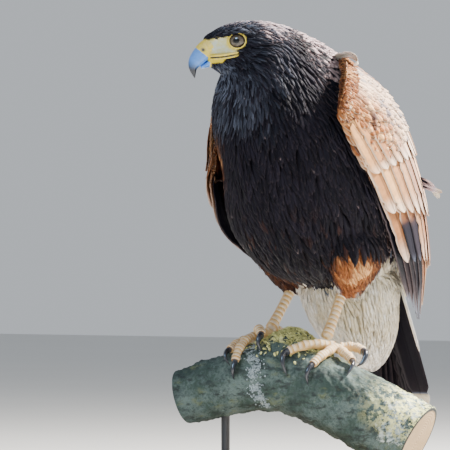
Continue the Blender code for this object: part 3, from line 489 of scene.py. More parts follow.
def mesh_piece(name, shape, material, nodes=()):
    """One object of the model, riding on its body and standing for the CAD nodes it replaces."""
    piece = placed(name, mesh_of(name, shape))
    piece.data.materials.append(material)
    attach(piece, "root")
    if nodes:
        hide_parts(*nodes)
    return piece


def tubes(rings, values=None, maps=None):
    """Many closed tubes at once, from rings[tube, station, side], ended by fans.

    Values and maps are given on the same grid. The volume's sign turns the faces outwards."""
    rings = np.asarray(rings, float)
    if rings.ndim == 3:
        rings = rings[None]
    n, s, m = rings.shape[:3]

    def with_ends(grid, *tail):
        grid = np.broadcast_to(grid, (n, s, m, *tail))
        ends = np.stack((grid[:, 0].mean(1), grid[:, -1].mean(1)), 1)
        return np.concatenate((grid.reshape(n, s * m, *tail), ends), 1).reshape(-1, *tail)

    i, j = np.meshgrid(np.arange(s - 1) * m, np.arange(m), indexing="ij")
    k = (j + 1) % m
    quads = np.stack((i + j, i + k, i + m + k, i + m + j), -1).reshape(-1, 4)
    j, k = np.arange(m), (np.arange(m) + 1) % m
    last = (s - 1) * m
    root = np.stack((np.full(m, s * m), k, j), -1)
    tip = np.stack((np.full(m, s * m + 1), last + j, last + k), -1)
    shift = (np.arange(n) * (s * m + 2))[:, None, None]
    quads = (quads[None] + shift).reshape(-1, 4)
    fans = (np.concatenate((root, tip))[None] + shift).reshape(-1, 3)
    points = with_ends(rings, 3)
    halves = np.concatenate((quads[:, :3], quads[:, (0, 2, 3)], fans))
    a, b, c = (points[halves[:, i]] for i in range(3))
    if (a * np.cross(b, c)).sum() < 0:
        quads, fans = quads[:, ::-1], fans[:, ::-1]
    values = {name: with_ends(grid) for name, grid in (values or {}).items()}
    maps = {name: with_ends(grid, 2) for name, grid in (maps or {}).items()}
    return {"points": points, "faces": [quads, fans], "values": values, "maps": maps}


def joined(shapes):
    """Several shapes' points, faces, values and maps as one."""
    shift = np.cumsum([0] + [len(shape["points"]) for shape in shapes])
    whole = {
        "points": np.concatenate([shape["points"] for shape in shapes]),
        "faces": [group + shift[i] for i, shape in enumerate(shapes) for group in shape["faces"]],
    }
    for kind in ("values", "maps"):
        keys = shapes[0][kind]
        whole[kind] = {key: np.concatenate([shape[kind][key] for shape in shapes]) for key in keys}
    return whole


def full_turn(sides):
    """Angles once round, evenly spaced."""
    return np.linspace(0, 2 * math.pi, sides, endpoint=False)


def tube_rings(path, radii, sides, way=UP, flat=1.0, towards=-1):
    """Rings round a path. Their quarter turn points away from the given way, or along it if towards is 1.

    radii may vary along the path and round it; flat is the width across to the height."""
    ahead = unit(np.gradient(path, axis=0))
    across = unit(np.cross(ahead, way))
    other = towards * np.cross(across, ahead)
    turn = full_turn(sides)
    radii = np.broadcast_to(radii, (len(path), sides))[..., None]
    return path[:, None, :] + radii * (
        np.cos(turn)[None, :, None] * across[:, None, :] * flat
        + np.sin(turn)[None, :, None] * other[:, None, :]
    )


def trunk_place(t, turn, grow=0.0):
    """The trunk's surface: turn is 0 at the breast, a half at the back, one all the way round."""
    rows = through(TRUNK, t)
    front, back, wide = rows[..., 0:2], rows[..., 2:4], rows[..., 4]
    middle, half = (front + back) / 2, (front - back) / 2
    half = half * (1 + grow / np.linalg.norm(half, axis=-1))[..., None]
    angle = 2 * math.pi * turn
    along = signed_power(np.cos(angle), 2 / TRUNK_SQUARE)
    across = signed_power(np.sin(angle), 2 / TRUNK_SQUARE)
    plane = middle + half * along[..., None]
    swell = np.clip(bell(t - WING_BED_AT, WING_BED_SPREAD) - 0.02, 0, 1)
    bed = WING_BED * swell * np.clip(along, 0, 1) * np.clip(-across, 0, 1) * 2
    x = (wide + grow) * across + bed * PICTURE_RIGHT[0]
    return np.stack((x, plane[..., 0] + bed * PICTURE_RIGHT[1], plane[..., 1]), -1)


def head_axes():
    """The head's ways forward, left and up."""
    nose = np.array((-math.sin(HEAD_YAW), -math.cos(HEAD_YAW), 0.0))
    side = np.array((math.cos(HEAD_YAW), -math.sin(HEAD_YAW), 0.0))
    forward = nose * math.cos(HEAD_DIP) - UP * math.sin(HEAD_DIP)
    return np.stack((forward, side, UP * math.cos(HEAD_DIP) + nose * math.sin(HEAD_DIP)))


def head_frame(forward, left, up):
    """Places given in the head's frame, in the world's directions."""
    return HEAD_PLACE + np.stack(np.broadcast_arrays(forward, left, up), -1) @ head_axes()


def in_head(points):
    """Places turned into the head's frame: forward, left, up."""
    return (points - HEAD_PLACE) @ head_axes().T


def by_head(points):
    """Distances forward, left and up in the head's frame."""
    return np.moveaxis(in_head(points), -1, 0)


def head_place(forward, turn, grow=0.0):
    """The head's surface: turn is 0 at the left, a quarter at the crown. The brow stands out."""
    wide, crown, chin = np.moveaxis(through(HEAD, forward), -1, 0)
    angle = 2 * math.pi * turn
    left = (wide + grow) * signed_power(np.cos(angle), 2 / HEAD_SQUARE)
    up = (crown + chin) / 2 + ((crown - chin) / 2 + grow) * signed_power(np.sin(angle), 2 / HEAD_SQUARE)
    ridge = bell(up - 0.0062 + 12 * (forward - 0.003) ** 2, 0.0022)
    ridge = ridge * fade(forward, -0.016, -0.004) * (1 - fade(forward, 0.013, 0.021))
    hollow = np.exp(-(((up + 0.005) / 0.0065) ** 2) - ((forward - 0.012) / 0.0085) ** 2)
    left = left + np.sign(left) * (BROW_OUT * ridge - HOLLOW_IN * hollow)
    return head_frame(forward, left, up)


def level_place(stations, height, turn, grow=0.0):
    """A form of level ovals, from rows of height, x, y, half-width, half-depth."""
    x, y, wide, deep = np.moveaxis(through(stations, height), -1, 0)
    angle = 2 * math.pi * turn
    x = x + (wide + grow) * signed_power(np.cos(angle), 0.95)
    y = y + (deep + grow) * signed_power(np.sin(angle), 0.95)
    return np.stack(np.broadcast_arrays(x, y, height), -1)


def perch_place(along, turn, height=0.0):
    """A point over the branch: distance along, angle from the crest (back is positive), height."""
    along, turn, height = np.broadcast_arrays(*(np.asarray(v, float) for v in (along, turn, height)))
    z, radius = np.moveaxis(through(PERCH, along), -1, 0)
    slope = (through(PERCH, along + 1e-4)[..., 0] - through(PERCH, along - 1e-4)[..., 0]) / 2e-4
    place, wide, around, lean, tall = KNOB
    bump = tall * np.exp(-(((along - place) / wide) ** 2) - ((turn - lean) / around) ** 2)
    out = (radius + bump + height)[..., None]
    normal = unit(UP - slope[..., None] * PERCH_RUN)
    middle = along[..., None] * PERCH_RUN + z[..., None] * UP + PERCH_MIDDLE
    return middle + out * (np.cos(turn)[..., None] * normal + np.sin(turn)[..., None] * PERCH_BACK)


def perch_axis(points):
    """The branch's middle line at the place nearest to each point."""
    along = (points - PERCH_MIDDLE) @ PERCH_RUN
    return along[..., None] * PERCH_RUN + through(PERCH, along)[..., 0:1] * UP + PERCH_MIDDLE


def off_perch(points):
    """The way straight out from the branch's middle line at each point."""
    return unit(points - perch_axis(points))


def wing_sheet(stations, along, across):
    """The wing's surface: a curve from leading edge to trailing edge, carried from shoulder to tip."""
    held = np.clip(along, 0, 1)
    rows = through(stations, held)
    tip = (through(stations, np.array(1.0)) - through(stations, np.array(0.97))) / 0.03
    rows = rows + (along - held)[..., None] * tip
    t = across[..., None]
    return (1 - t) ** 2 * rows[..., 0:3] + 2 * t * (1 - t) * rows[..., 3:6] + t**2 * rows[..., 6:9]


def wing_place(side, along, across, height):
    """A point over a wing, with its height outwards. side is 1 for the left and -1 for the right."""
    stations = WING if side > 0 else WING_RIGHT
    along, across, height = np.broadcast_arrays(*(np.asarray(v, float) for v in (along, across, height)))
    ahead = wing_sheet(stations, along + 1e-3, across) - wing_sheet(stations, along - 1e-3, across)
    over = wing_sheet(stations, along, across + 1e-3) - wing_sheet(stations, along, across - 1e-3)
    out = unit(np.cross(ahead, over))
    return (wing_sheet(stations, along, across) + out * height[..., None]) * np.array((side, 1, 1))


def tail_place(along, left, height):
    """A point on the tail: root to tip, distance to the left, height towards its upper side."""
    along, left, height = np.broadcast_arrays(*(np.asarray(v, float) for v in (along, left, height)))
    held = np.clip(along, 0.0, 1.0)
    slope = through(TAIL, np.minimum(held + 1e-3, 1)) - through(TAIL, np.maximum(held - 1e-3, 0))
    run = unit(slope[..., 0:2])
    place = through(TAIL, held)[..., 0:2] + (along - held)[..., None] * run * TAIL_LENGTH
    place = place + np.stack((-run[..., 1], run[..., 0]), -1) * height[..., None]
    return np.stack((left, place[..., 0], place[..., 1]), -1)


def toe_path(rows, at):
    """Places along a toe and its claw: 0 at the palm, 1 at the toe's end, 2 at the claw's tip."""
    knots = np.array((0, 0.35, 0.7, 1.0, 1.25, 1.65, 2.0))
    found = through(np.column_stack((knots, np.array(rows) * (1, math.pi / 180, 1))), at)
    return perch_place(found[:, 0], found[:, 1], found[:, 2])


class Paint:
    """A value or colour in a material's tree. Operators add Math nodes; node() adds any other node."""

    def __init__(self, tree, socket=None):
        self.tree = tree
        self.socket = socket

    def node(self, kind, settings=None, inputs=None, out=0):
        made = self.tree.nodes.new("ShaderNode" + kind)
        for key, value in (settings or {}).items():
            setattr(made, key, value)
        for key, value in (inputs or {}).items():
            self.put(made.inputs[key], value)
        return Paint(self.tree, made.outputs[out])

    def put(self, socket, value):
        if isinstance(value, Paint):
            self.tree.links.new(value.socket, socket)
        elif socket.type == "RGBA" and len(value) == 3:
            socket.default_value = (*value, 1.0)
        else:
            socket.default_value = value

    def maths(self, operation, *terms):
        return self.node("Math", {"operation": operation}, dict(enumerate(terms)))

    def __add__(self, other):
        return self.maths("ADD", self, other)

    def __sub__(self, other):
        return self.maths("SUBTRACT", self, other)

    def __mul__(self, other):
        return self.maths("MULTIPLY", self, other)

    def __truediv__(self, other):
        return self.maths("DIVIDE", self, other)

    def __pow__(self, other):
        return self.maths("POWER", self, other)

    def __rsub__(self, other):
        return self.maths("SUBTRACT", other, self)

    def __neg__(self):
        return self.maths("MULTIPLY", self, -1.0)

    __radd__ = __add__
    __rmul__ = __mul__

    def size(self):
        return self.maths("ABSOLUTE", self)

    def wave(self):
        return self.maths("SINE", self)

    def least(self, other):
        return self.maths("MINIMUM", self, other)

    def most(self, other):
        return self.maths("MAXIMUM", self, other)

    def between(self, low, high):
        """Smooth step from 0 at low to 1 at high."""
        settings = {"interpolation_type": "SMOOTHSTEP"}
        return self.node("MapRange", settings, {"Value": self, "From Min": low, "From Max": high})

    def mix(self, low, high):
        """Colour between low and high, by this value."""
        return self.node("Mix", {"data_type": "RGBA"}, {0: self, 6: low, 7: high}, 2)

    def tint(self, colour, amount=1.0):
        """This colour multiplied by another."""
        settings = {"data_type": "RGBA", "blend_type": "MULTIPLY"}
        return self.node("Mix", settings, {0: amount, 6: self, 7: colour}, 2)

    def value(self, name):
        """A value the mesh keeps at each of its points."""
        return self.node("Attribute", {"attribute_name": name}, out="Fac")

    def place(self):
        return self.node("TexCoord", out="Object")

    def stretched(self, x, y, z):
        return self.node("Mapping", None, {"Vector": self.place(), "Scale": (x, y, z)})

    def noise(self, scale, detail=3.0, rough=0.5, vector=None):
        inputs = {"Vector": vector or self.place(), "Scale": scale, "Detail": detail, "Roughness": rough}
        return self.node("TexNoise", None, inputs)

    def cells(self, scale, feature="F1", vector=None, out="Distance"):
        inputs = {"Vector": vector or self.place(), "Scale": scale}
        return self.node("TexVoronoi", {"feature": feature}, inputs, out)

    def bump(self, height, depth, strength=1.0):
        """A Bump node's normal, depth in metres for a height of 1."""
        return self.node("Bump", None, {"Height": height, "Distance": depth, "Strength": strength})


def finish(name, shade, **constants):
    """A material. shade(paint) gives what varies over the surface; constants go to the shader's sockets."""
    made = bpy.data.materials.new(name)
    made.use_nodes = True
    paint = Paint(made.node_tree)
    shader = made.node_tree.nodes["Principled BSDF"]
    for key, value in constants.items():
        paint.put(shader.inputs[key.replace("_", " ")], value)
    for key, value in shade(paint).items():
        paint.put(shader.inputs[key], value)
    return made


def feather_shade(paint):
    """Plumage: dark brown, chestnut or white by the feather's own values, with a dark shaft, pale edges that
    are worn and, on the nape and back, partly painted sunlight, a painted bluish sheen, painted sunlight and
    shade in the tone, and barbs that slant from the shaft in both colour and bump."""
    across, down = paint.value("across").size(), paint.value("down")
    tone, rufous = paint.value("tone"), paint.value("rufous")
    pale, worn = paint.value("pale"), paint.value("worn")
    # Pale edges grow wider and stronger with wear and, on the nape and back, with painted sunlight.
    rim = (worn - 0.5).most(0.0) * 1.1
    edge = (across + rim).between(0.66, 0.98).most((down + rim).between(0.78, 0.99))
    edge = edge * down.between(0.10, 0.40)
    shaft = (1 - across.between(0.0, 0.22)) * down.between(0.0, 0.15)
    barbs = (paint.value("barb") * (2 * math.pi)).wave() * (1 - across.between(0.88, 0.99))
    cloud = paint.noise(260.0, 4.0).between(0.35, 0.70)
    dark = tone.mix(CHOCOLATE, UMBER)
    warm = (tone * 0.7 + cloud * 0.3).mix(CHESTNUT, RUSSET)
    # High tone turns chestnut to peach: painted sunlight, and random paler feathers.
    warm = (tone.between(0.55, 1.0) * (0.7 + 0.3 * cloud)).mix(warm, PEACH)
    # Low tone turns white feathers cream: their own cream, and painted shade on white body feathers.
    white = (tone * 0.7 + cloud * 0.3).mix(CREAM, WHITE)
    # A little white on a dark feather comes out bluish: painted sky sheen.
    white = pale.between(0.25, 0.50).most(rufous).mix(PAINTED_SKY_SHEEN, white)
    colour = rufous.mix(dark, warm)
    colour = (edge * (worn * 1.5).least(1.0)).mix(colour, rufous.mix(cloud.mix(SAND, TAN), EDGE_CREAM))
    colour = pale.mix(colour, white)
    colour = (shaft * 0.55 * (1 - pale)).mix(colour, CHOCOLATE)
    colour = ((0.5 - barbs * 0.5) * (1 - pale * 0.75)).mix(colour, colour.tint((0.84, 0.84, 0.84)))
    ridge = 1 - across.between(0.0, 0.12)
    return {
        "Base Color": colour,
        "Roughness": 0.46 + 0.16 * tone + 0.12 * pale,
        "Normal": paint.bump(barbs * 0.4 + ridge * 2.0 * (1 - pale), 0.00009),
    }


def skin_shade(paint):
    """Skin under the coat in the plumage's colours, and bare pale skin with fine wrinkles at the lores."""
    bare = paint.value("bare")
    streaks = paint.noise(900.0, 4.0, 0.6, paint.stretched(1.0, 1.0, 0.35))
    dark = streaks.between(0.3, 0.7).mix(CHOCOLATE, UMBER)
    colour = paint.value("rufous").mix(dark, CHESTNUT)
    colour = paint.value("pale").between(0.3, 0.6).mix(colour, CREAM)
    lore = paint.noise(300.0, 4.0).between(0.35, 0.65).mix(LORE, LORE_GREY)
    lore = paint.value("gold").mix(lore, YELLOW)
    lore = (streaks.between(0.62, 0.75) * 0.20).mix(lore, SAND)
    folds = paint.noise(1500.0, 3.0, 0.6)
    return {
        "Base Color": bare.mix(colour, lore),
        "Roughness": 0.75 - bare * 0.2,
        "Normal": paint.bump(folds * (0.4 + bare * 0.6) + streaks * 0.4, 0.0005),
    }


def horn_shade(paint):
    """Bill: pale blue-grey at the cere, black at the hooked tip, with fine growth lines along the edge."""
    reach = paint.value("reach")
    lines = paint.noise(500.0, 4.0, 0.6, paint.stretched(0.5, 0.5, 1.4))
    pale = (lines * 0.6 + 0.2).mix(HORN_BLUE, (0.15, 0.38, 0.88))
    dark = (reach + lines * 0.16 - 0.08).between(0.42, 0.92)
    return {
        "Base Color": dark.mix(pale, HORN_DARK),
        "Roughness": 0.26 + 0.14 * lines,
        "Normal": paint.bump(lines, 0.00025),
    }


def claw_shade(paint):
    """Talons: blue-black horn, a little paler and duller at the root."""
    lines = paint.noise(700.0, 3.0)
    root = 1 - paint.value("reach").between(0.0, 0.28)
    return {
        "Base Color": (root * 0.6 + lines * 0.2).mix((0.012, 0.014, 0.020), (0.075, 0.085, 0.110)),
        "Roughness": 0.20 + 0.20 * root + 0.1 * lines,
        "Normal": paint.bump(lines, 0.0002),
    }


def cere_shade(paint):
    """Waxy yellow skin with shallow pits and pale patches; the nostril and the mouth's seam are painted dark
    as shade.
    """
    cloud = paint.noise(350.0, 4.0).between(0.3, 0.7)
    pits = paint.cells(1600.0)
    colour = cloud.mix(YELLOW, (0.80, 0.62, 0.14))
    colour = (paint.noise(900.0, 3.0).between(0.60, 0.75) * 0.35).mix(colour, (0.45, 0.24, 0.05))
    return {
        # Painted shade: dark in the nostril and in the seam between the lips.
        "Base Color": paint.value("pit").mix(colour, (0.015, 0.010, 0.010)),
        "Roughness": 0.38 + 0.15 * cloud,
        "Normal": paint.bump(pits, 0.0002),
    }


def leg_shade(paint):
    """Scaly yellow-orange legs: dark seams between plates whose raised crowns are painted pale, as wear with
    a painted highlight.
    """
    crown = paint.value("crown")
    cloud = paint.noise(220.0, 4.0).between(0.3, 0.7)
    small = paint.cells(1250.0, "DISTANCE_TO_EDGE")
    colour = cloud.mix((0.80, 0.44, 0.09), (0.93, 0.66, 0.30))
    # The plates' crowns painted pale: wear together with a painted highlight.
    colour = (crown.between(0.35, 0.95) * 0.78).mix(colour, (1.0, 0.92, 0.84))
    seam = (1 - crown.between(0.0, 0.30)).most((1 - small.between(0.0, 0.09)) * 0.4)
    return {
        "Base Color": (seam * 0.85).mix(colour, (0.22, 0.09, 0.03)),
        "Roughness": 0.42 + 0.2 * cloud,
        "Normal": paint.bump(small.between(0.0, 0.25), 0.00035),
    }


def eye_shade(paint):
    """Pupil, brown iris with fine rays, and a dark rim, by the angle from the way the eye looks."""
    gaze = paint.value("gaze")
    rays = paint.noise(1400.0, 5.0, 0.7)
    iris = (rays.between(0.35, 0.65) * 0.8).mix((0.045, 0.036, 0.028), (0.155, 0.130, 0.100))
    iris = gaze.between(0.56, 0.76).mix(iris, (0.050, 0.034, 0.025))
    pupil = 1 - gaze.between(0.31, 0.34)
    rim = gaze.between(0.76, 0.82)
    return {
        "Base Color": pupil.most(rim).mix(iris, (0.004, 0.004, 0.005)),
        "Roughness": 0.10 + 0.2 * rim,
    }


def bark_shade(paint):
    """Grey-green bark: fissures along it, pale and dark patches, blue-grey lichen and a yellow crust."""
    fissure = paint.noise(150.0, 6.0, 0.65, paint.stretched(0.35, 1.0, 1.0))
    grain = paint.noise(420.0, 5.0, 0.62)
    cloud = paint.noise(34.0, 5.0, 0.6)
    colour = (cloud * 0.6 + grain * 0.4).between(0.42, 0.60).mix(BARK, BARK_PALE)
    blotch = paint.noise(75.0, 5.0, 0.65, paint.stretched(0.5, 1.0, 1.0))
    colour = (blotch.between(0.50, 0.66) * 0.6).mix(colour, BARK_DARK)
    colour = ((1 - blotch.between(0.30, 0.44)) * 0.5).mix(colour, (0.150, 0.165, 0.060))
    colour = (fissure.between(0.52, 0.64) * 0.75).mix(colour, BARK_DARK)
    colour = (grain.between(0.56, 0.64) * 0.5).mix(colour, BARK_DARK)
    crust = paint.noise(150.0, 5.0, 0.7)
    spots = (paint.value("lichen") * 0.5 + crust * 0.7).between(0.58, 0.66)
    colour = spots.mix(colour, crust.between(0.5, 0.66).mix(LICHEN, (0.44, 0.50, 0.48)))
    gold = paint.value("gold") * (paint.noise(210.0, 5.0, 0.7).between(0.47, 0.53))
    colour = gold.mix(colour, MOSS)
    return {
        "Base Color": colour,
        "Roughness": 0.82 + 0.1 * cloud,
        "Normal": paint.bump(grain * 0.5 + (1 - fissure) * 1.2 + spots * 0.5, 0.0014),
    }


def crust_shade(low, high):
    """Lichen lobes from one colour at the root to another at the rim, grained."""

    def shade(paint):
        grain = paint.noise(900.0, 4.0, 0.6)
        rim = paint.value("down") * 0.7 + paint.value("tone") * 0.5
        return {
            "Base Color": (rim * (0.6 + 0.6 * grain)).mix(low, high),
            "Roughness": 0.85 + 0.1 * grain,
            "Normal": paint.bump(grain, 0.0004),
        }

    return shade


def end_shade(paint):
    """Sawn wood across the grain: year rings, fine cracks from the heart, and a dark bark rim."""
    reach = paint.value("reach")
    wander = paint.noise(90.0, 4.0)
    rings = ((reach * 14.0 + wander * 1.6) * (2 * math.pi)).wave() * 0.5 + 0.5
    colour = (rings * 0.6 + wander * 0.3).mix((0.50, 0.37, 0.21), (0.28, 0.17, 0.085))
    return {
        "Base Color": reach.between(0.88, 0.93).mix(colour, BARK_DARK),
        "Roughness": 0.72 + 0.1 * wander,
        "Normal": paint.bump(rings, 0.0003),
    }


def timber_shade(paint):
    """Oiled oak: long grain with year lines and pores along the board."""
    drift = paint.noise(9.0, 4.0, 0.6, paint.stretched(0.22, 1.4, 1.4))
    lines = paint.noise(60.0, 5.0, 0.65, paint.stretched(0.10, 2.6, 2.6))
    rings = ((drift * 26.0) * math.pi).wave() * 0.5 + 0.5
    pores = paint.noise(420.0, 2.0, 0.5, paint.stretched(0.06, 1.0, 1.0)).between(0.60, 0.68)
    colour = (rings * 0.55 + lines * 0.35).mix(TIMBER, (0.20, 0.115, 0.055))
    return {
        "Base Color": (pores * 0.6).mix(colour, (0.09, 0.050, 0.025)),
        "Roughness": 0.42 + 0.2 * lines,
        "Normal": paint.bump(lines * 0.5 - pores, 0.0003),
    }


def metal_shade(paint):
    """Blackened steel, brushed along its length."""
    brush = paint.noise(900.0, 4.0, 0.6, paint.stretched(1.0, 1.0, 0.02))
    return {
        "Base Color": brush.mix((0.030, 0.030, 0.032), (0.085, 0.085, 0.088)),
        "Roughness": 0.34 + 0.2 * brush,
        "Normal": paint.bump(brush, 0.00008),
    }


def floor_shade(paint):
    """Plain pale floor."""
    cloud = paint.noise(3.0, 2.0)
    return {"Base Color": cloud.mix((0.62, 0.62, 0.61), (0.66, 0.66, 0.65)), "Roughness": 0.85 + 0.05 * cloud}


def closed_form(place, stations, count, sides, depth):
    """A loft over a form's rows, closed at both ends, from place(along, turn, grow), sunk by a depth."""
    along = np.linspace(stations[0][0], stations[-1][0], count)[:, None]
    turn = np.linspace(0, 1, sides, endpoint=False)[None, :]
    return tubes(place(along, turn, -depth))


def brow_form(side):
    """The bony ridge over an eye, thicker over the eye than at its ends."""
    rows = through(BROW, np.linspace(0, 1, 14))
    path = head_frame(rows[:, 0], side * rows[:, 1], rows[:, 2])
    return tubes(tube_rings(path, rows[:, 3:4] * 0.9, 12))


def forehead_form():
    """The feathered skin that runs out over the bill's root."""
    t = np.linspace(0, 1, 16)
    forward, top, radius = through(FOREHEAD, t).T
    path = head_frame(forward, 0 * t, top - radius)
    return tubes(tube_rings(path, radius[:, None], 20, head_axes()[1]))


def evaluated(piece):
    """A new mesh of an object with its modifiers applied."""
    return bpy.data.meshes.new_from_object(piece.evaluated_get(bpy.context.evaluated_depsgraph_get()))


def lores(points):
    """How bare the face is: 1 between bill, eye and mouth corner."""
    forward, _, up = by_head(points)
    top = np.interp(forward, *np.transpose(LORE_TOP))
    below_brow = 1 - fade(up, top - LORE_SOFT, top + 0.0006)
    low = np.interp(forward, *np.transpose(LORE_LOW))
    above_gape = fade(up, low - LORE_SOFT, low + LORE_SOFT)
    rear = np.interp(up, *np.transpose(LORE_REAR))
    before_cheek = fade(forward, rear - LORE_SOFT, rear + LORE_SOFT)
    ring = (1 - fade(beside_eye(points), 0.0082, 0.0088)) * (1 - fade(up, 0.0046, 0.0058))
    return np.maximum(below_brow * above_gape * before_cheek, ring) * fade(forward, -0.012, -0.010)


def eye_centre(side):
    """The middle of an eye."""
    return head_frame(EYE_BACK, side * EYE_OUT, EYE_UP)


def beside_eye(points):
    """Distance from the line along which the nearer eye looks."""
    side = np.where(in_head(points)[..., 1] < 0, -1.0, 1.0)
    axis, off = eye_axis(side), points - eye_centre(side)
    off = off - (off * axis).sum(-1, keepdims=True) * axis
    return np.sqrt((off**2).sum(-1) + off[..., 2] ** 2 * (EYE_FLAT**-2 - 1))


def set_back(points):
    """Skin drawn in round the eyes below the brows, so that each eye's ring stands clear of it."""
    side = np.where(in_head(points)[..., 1] < 0, -1.0, 1.0)
    axis = eye_axis(side)
    out = ((points - eye_centre(side)) * axis).sum(-1)
    away = beside_eye(points)
    limit = SOCKET + SOCKET_SLOPE * np.maximum(away - 0.0086, 0)
    _, left, up = by_head(points)
    weight = (1 - fade(away, 0.0100, 0.0150)) * (1 - fade(up, 0.0046, 0.0062))
    weight = weight * (np.abs(left) > 0.008)
    return points - (np.maximum(out - limit, 0) * weight)[..., None] * axis


def eye_axis(side):
    """The way an eye looks: outwards and a little forward."""
    ahead = np.stack(np.broadcast_arrays(math.sin(EYE_FORWARD), side * math.cos(EYE_FORWARD), 0.0), -1)
    return unit(ahead @ head_axes())


def inside_level(stations, points, spread=1.0):
    """How deep a point lies in a form of level ovals: 0 at its middle, 1 at its surface."""
    x, y, wide, deep = np.moveaxis(through(stations, points[..., 2]), -1, 0)
    return np.hypot((points[..., 0] - x) / wide, (points[..., 1] - y) / deep) / spread


def markings(points):
    """The hawk's colours at a place: shares of chestnut, white and worn pale edges. Painted shade takes
    chestnut off the thighs, the white share brings a painted bluish sheen on the head and throat, and the
    pale edges on the back and nape are partly painted sunlight.
    """
    x, y, z = np.moveaxis(points, -1, 0)
    drift = ripple(points, 0.030, 5) * 0.18
    thigh = np.minimum(inside_level(THIGH_LEFT, points), inside_level(THIGH_RIGHT, points))
    on_thigh = (1 - fade(thigh + drift, 1.10, 1.35)) * (1 - fade(z + drift * 0.03, 0.074, 0.096))
    # Painted shade takes chestnut off: most of it off the right thigh, and off the back and the front inner
    # edge of the left thigh.
    on_thigh = on_thigh * (1 - 0.85 * fade(y + drift * 0.02, 0.026, 0.040)) * (1 - 0.8 * (x < 0))
    right = PICTURE_RIGHT[0] * x + PICTURE_RIGHT[1] * y
    on_thigh = on_thigh * np.where(x > 0, fade(right + drift * 0.02, 0.027, 0.036), 1)
    vent = inside_level(VENT, points)
    white = (1 - fade(vent + drift, 1.15, 1.40)) * (1 - fade(z + drift * 0.04, 0.058, 0.074))
    rump = fade(y, 0.094, 0.108) * (1 - fade(z + drift * 0.05, 0.096, 0.112))
    flank = fade(y + drift * 0.03, 0.036, 0.050) * (1 - fade(z + drift * 0.04, 0.076, 0.092))
    white = np.maximum(np.maximum(white, flank) * (1 - on_thigh), rump)
    belly = fade(ripple(points, 0.016, 8), 0.45, 1.0) * (1 - fade(z, 0.08, 0.16)) * 0.10
    forward, _, up = by_head(points)
    chin = fade(forward, -0.002, 0.012) * (1 - fade(up, -0.024, -0.016)) * fade(up, -0.056, -0.040)
    throat = fade(forward, -0.040, -0.006) * (1 - fade(up, -0.034, -0.022)) * fade(up, -0.085, -0.060)
    # Pale edges on the back and nape: some wear, with painted sunlight that is strongest on the left side.
    back = fade(y + 0.5 * z + 0.25 * np.abs(x) + drift * 0.04, 0.088, 0.128)
    back = back * (0.2 + 0.8 * fade(z, 0.16, 0.235))
    nape = fade(-forward + drift * 0.02, 0.008, 0.026) * fade(up + 0.35 * forward, -0.014, 0.004)
    crown = fade(up, 0.008, 0.014) * 0.45
    fold = fade(-right + drift * 0.02, 0.066, 0.073) * fade(z, 0.120, 0.145)
    fold = 0.50 * fold * (1 - fade(z + drift * 0.03, 0.185, 0.205))
    painted_sunlight = 0.45 + 0.55 * fade(x + drift * 0.03, -0.018, 0.006)
    worn = 0.02 + 0.98 * np.maximum(back, nape) * painted_sunlight + crown
    # Painted bluish sheen over the head, strongest on the crown, and painted sheen streaks on the chin and
    # throat.
    sheen = fade(forward, -0.050, -0.034) * fade(up, -0.056, -0.040)
    sheen = sheen * (0.030 + 0.085 * fade(up, 0.004, 0.012))
    white_and_sheen = np.maximum(np.maximum(white, sheen), 0.13 * np.maximum(chin, 0.45 * throat))
    return np.maximum(np.maximum(on_thigh, fold), belly) * (1 - white), white_and_sheen, np.clip(worn, 0, 1)


def make_skin():
    """One skin: lofts of trunk, head, brows, thighs and under-tail, each inside the solids by its coat's
    depth, joined by a voxel remesh and smoothed so that no seam shows."""
    shapes = [
        closed_form(trunk_place, TRUNK, 60, 72, TRUNK_COAT),
        closed_form(head_place, HEAD, 60, 96, HEAD_COAT),
        closed_form(partial(level_place, VENT), VENT, 30, 48, VENT_COAT),
        closed_form(partial(level_place, THIGH_LEFT), THIGH_LEFT, 30, 40, THIGH_COAT),
        closed_form(partial(level_place, THIGH_RIGHT), THIGH_RIGHT, 30, 40, THIGH_COAT),
        brow_form(1),
        brow_form(-1),
        forehead_form(),
    ]
    skin = mesh_piece("skin", joined(shapes), feather_skin, FLESH)
    remesh = skin.modifiers.new("one_skin", "REMESH")
    remesh.mode = "VOXEL"
    remesh.voxel_size = SKIN_VOXEL
    remesh.use_smooth_shade = True
    smooth = skin.modifiers.new("soften", "SMOOTH")
    smooth.factor = 0.5
    smooth.iterations = 5
    mesh = evaluated(skin)
    skin.modifiers.clear()
    skin.data = mesh
    mesh.materials.clear()
    mesh.materials.append(feather_skin)
    points = set_back(points_of(mesh) - FEET)
    put_points(mesh, points)
    rufous, pale, _ = markings(points)
    forward, _, up = by_head(points)
    near_ring = 1 - fade(beside_eye(points), 0.0088, 0.0112 + 0.0015 * fade(forward, 0.0, 0.008))
    gold = np.maximum(near_ring, 1 - fade(up, -0.0128, -0.0112))
    gold = np.maximum(gold, fade(forward + 0.0006 * ripple(points, 0.004, 17), 0.0225, 0.0262))
    gold = np.maximum(gold, 0.55 * fade(up - np.interp(forward, *np.transpose(LORE_TOP)), -0.0034, -0.0008))
    put_values(mesh, {"rufous": rufous, "pale": pale, "bare": lores(points), "gold": gold})
    mesh.update()
    return skin


def onto_skin(skin, points, above=0.0):
    """The nearest places on the skin, by a Shrinkwrap of loose points."""
    mesh = bpy.data.meshes.new("loose")
    mesh.vertices.add(len(points))
    put_points(mesh, points)
    piece = placed("loose", mesh)
    wrap = piece.modifiers.new("wrap", "SHRINKWRAP")
    wrap.target = skin
    wrap.wrap_mode = "ABOVE_SURFACE"
    wrap.offset = above
    found = evaluated(piece)
    places = points_of(found) - FEET
    bpy.data.objects.remove(piece)
    bpy.data.meshes.remove(mesh)
    bpy.data.meshes.remove(found)
    return places


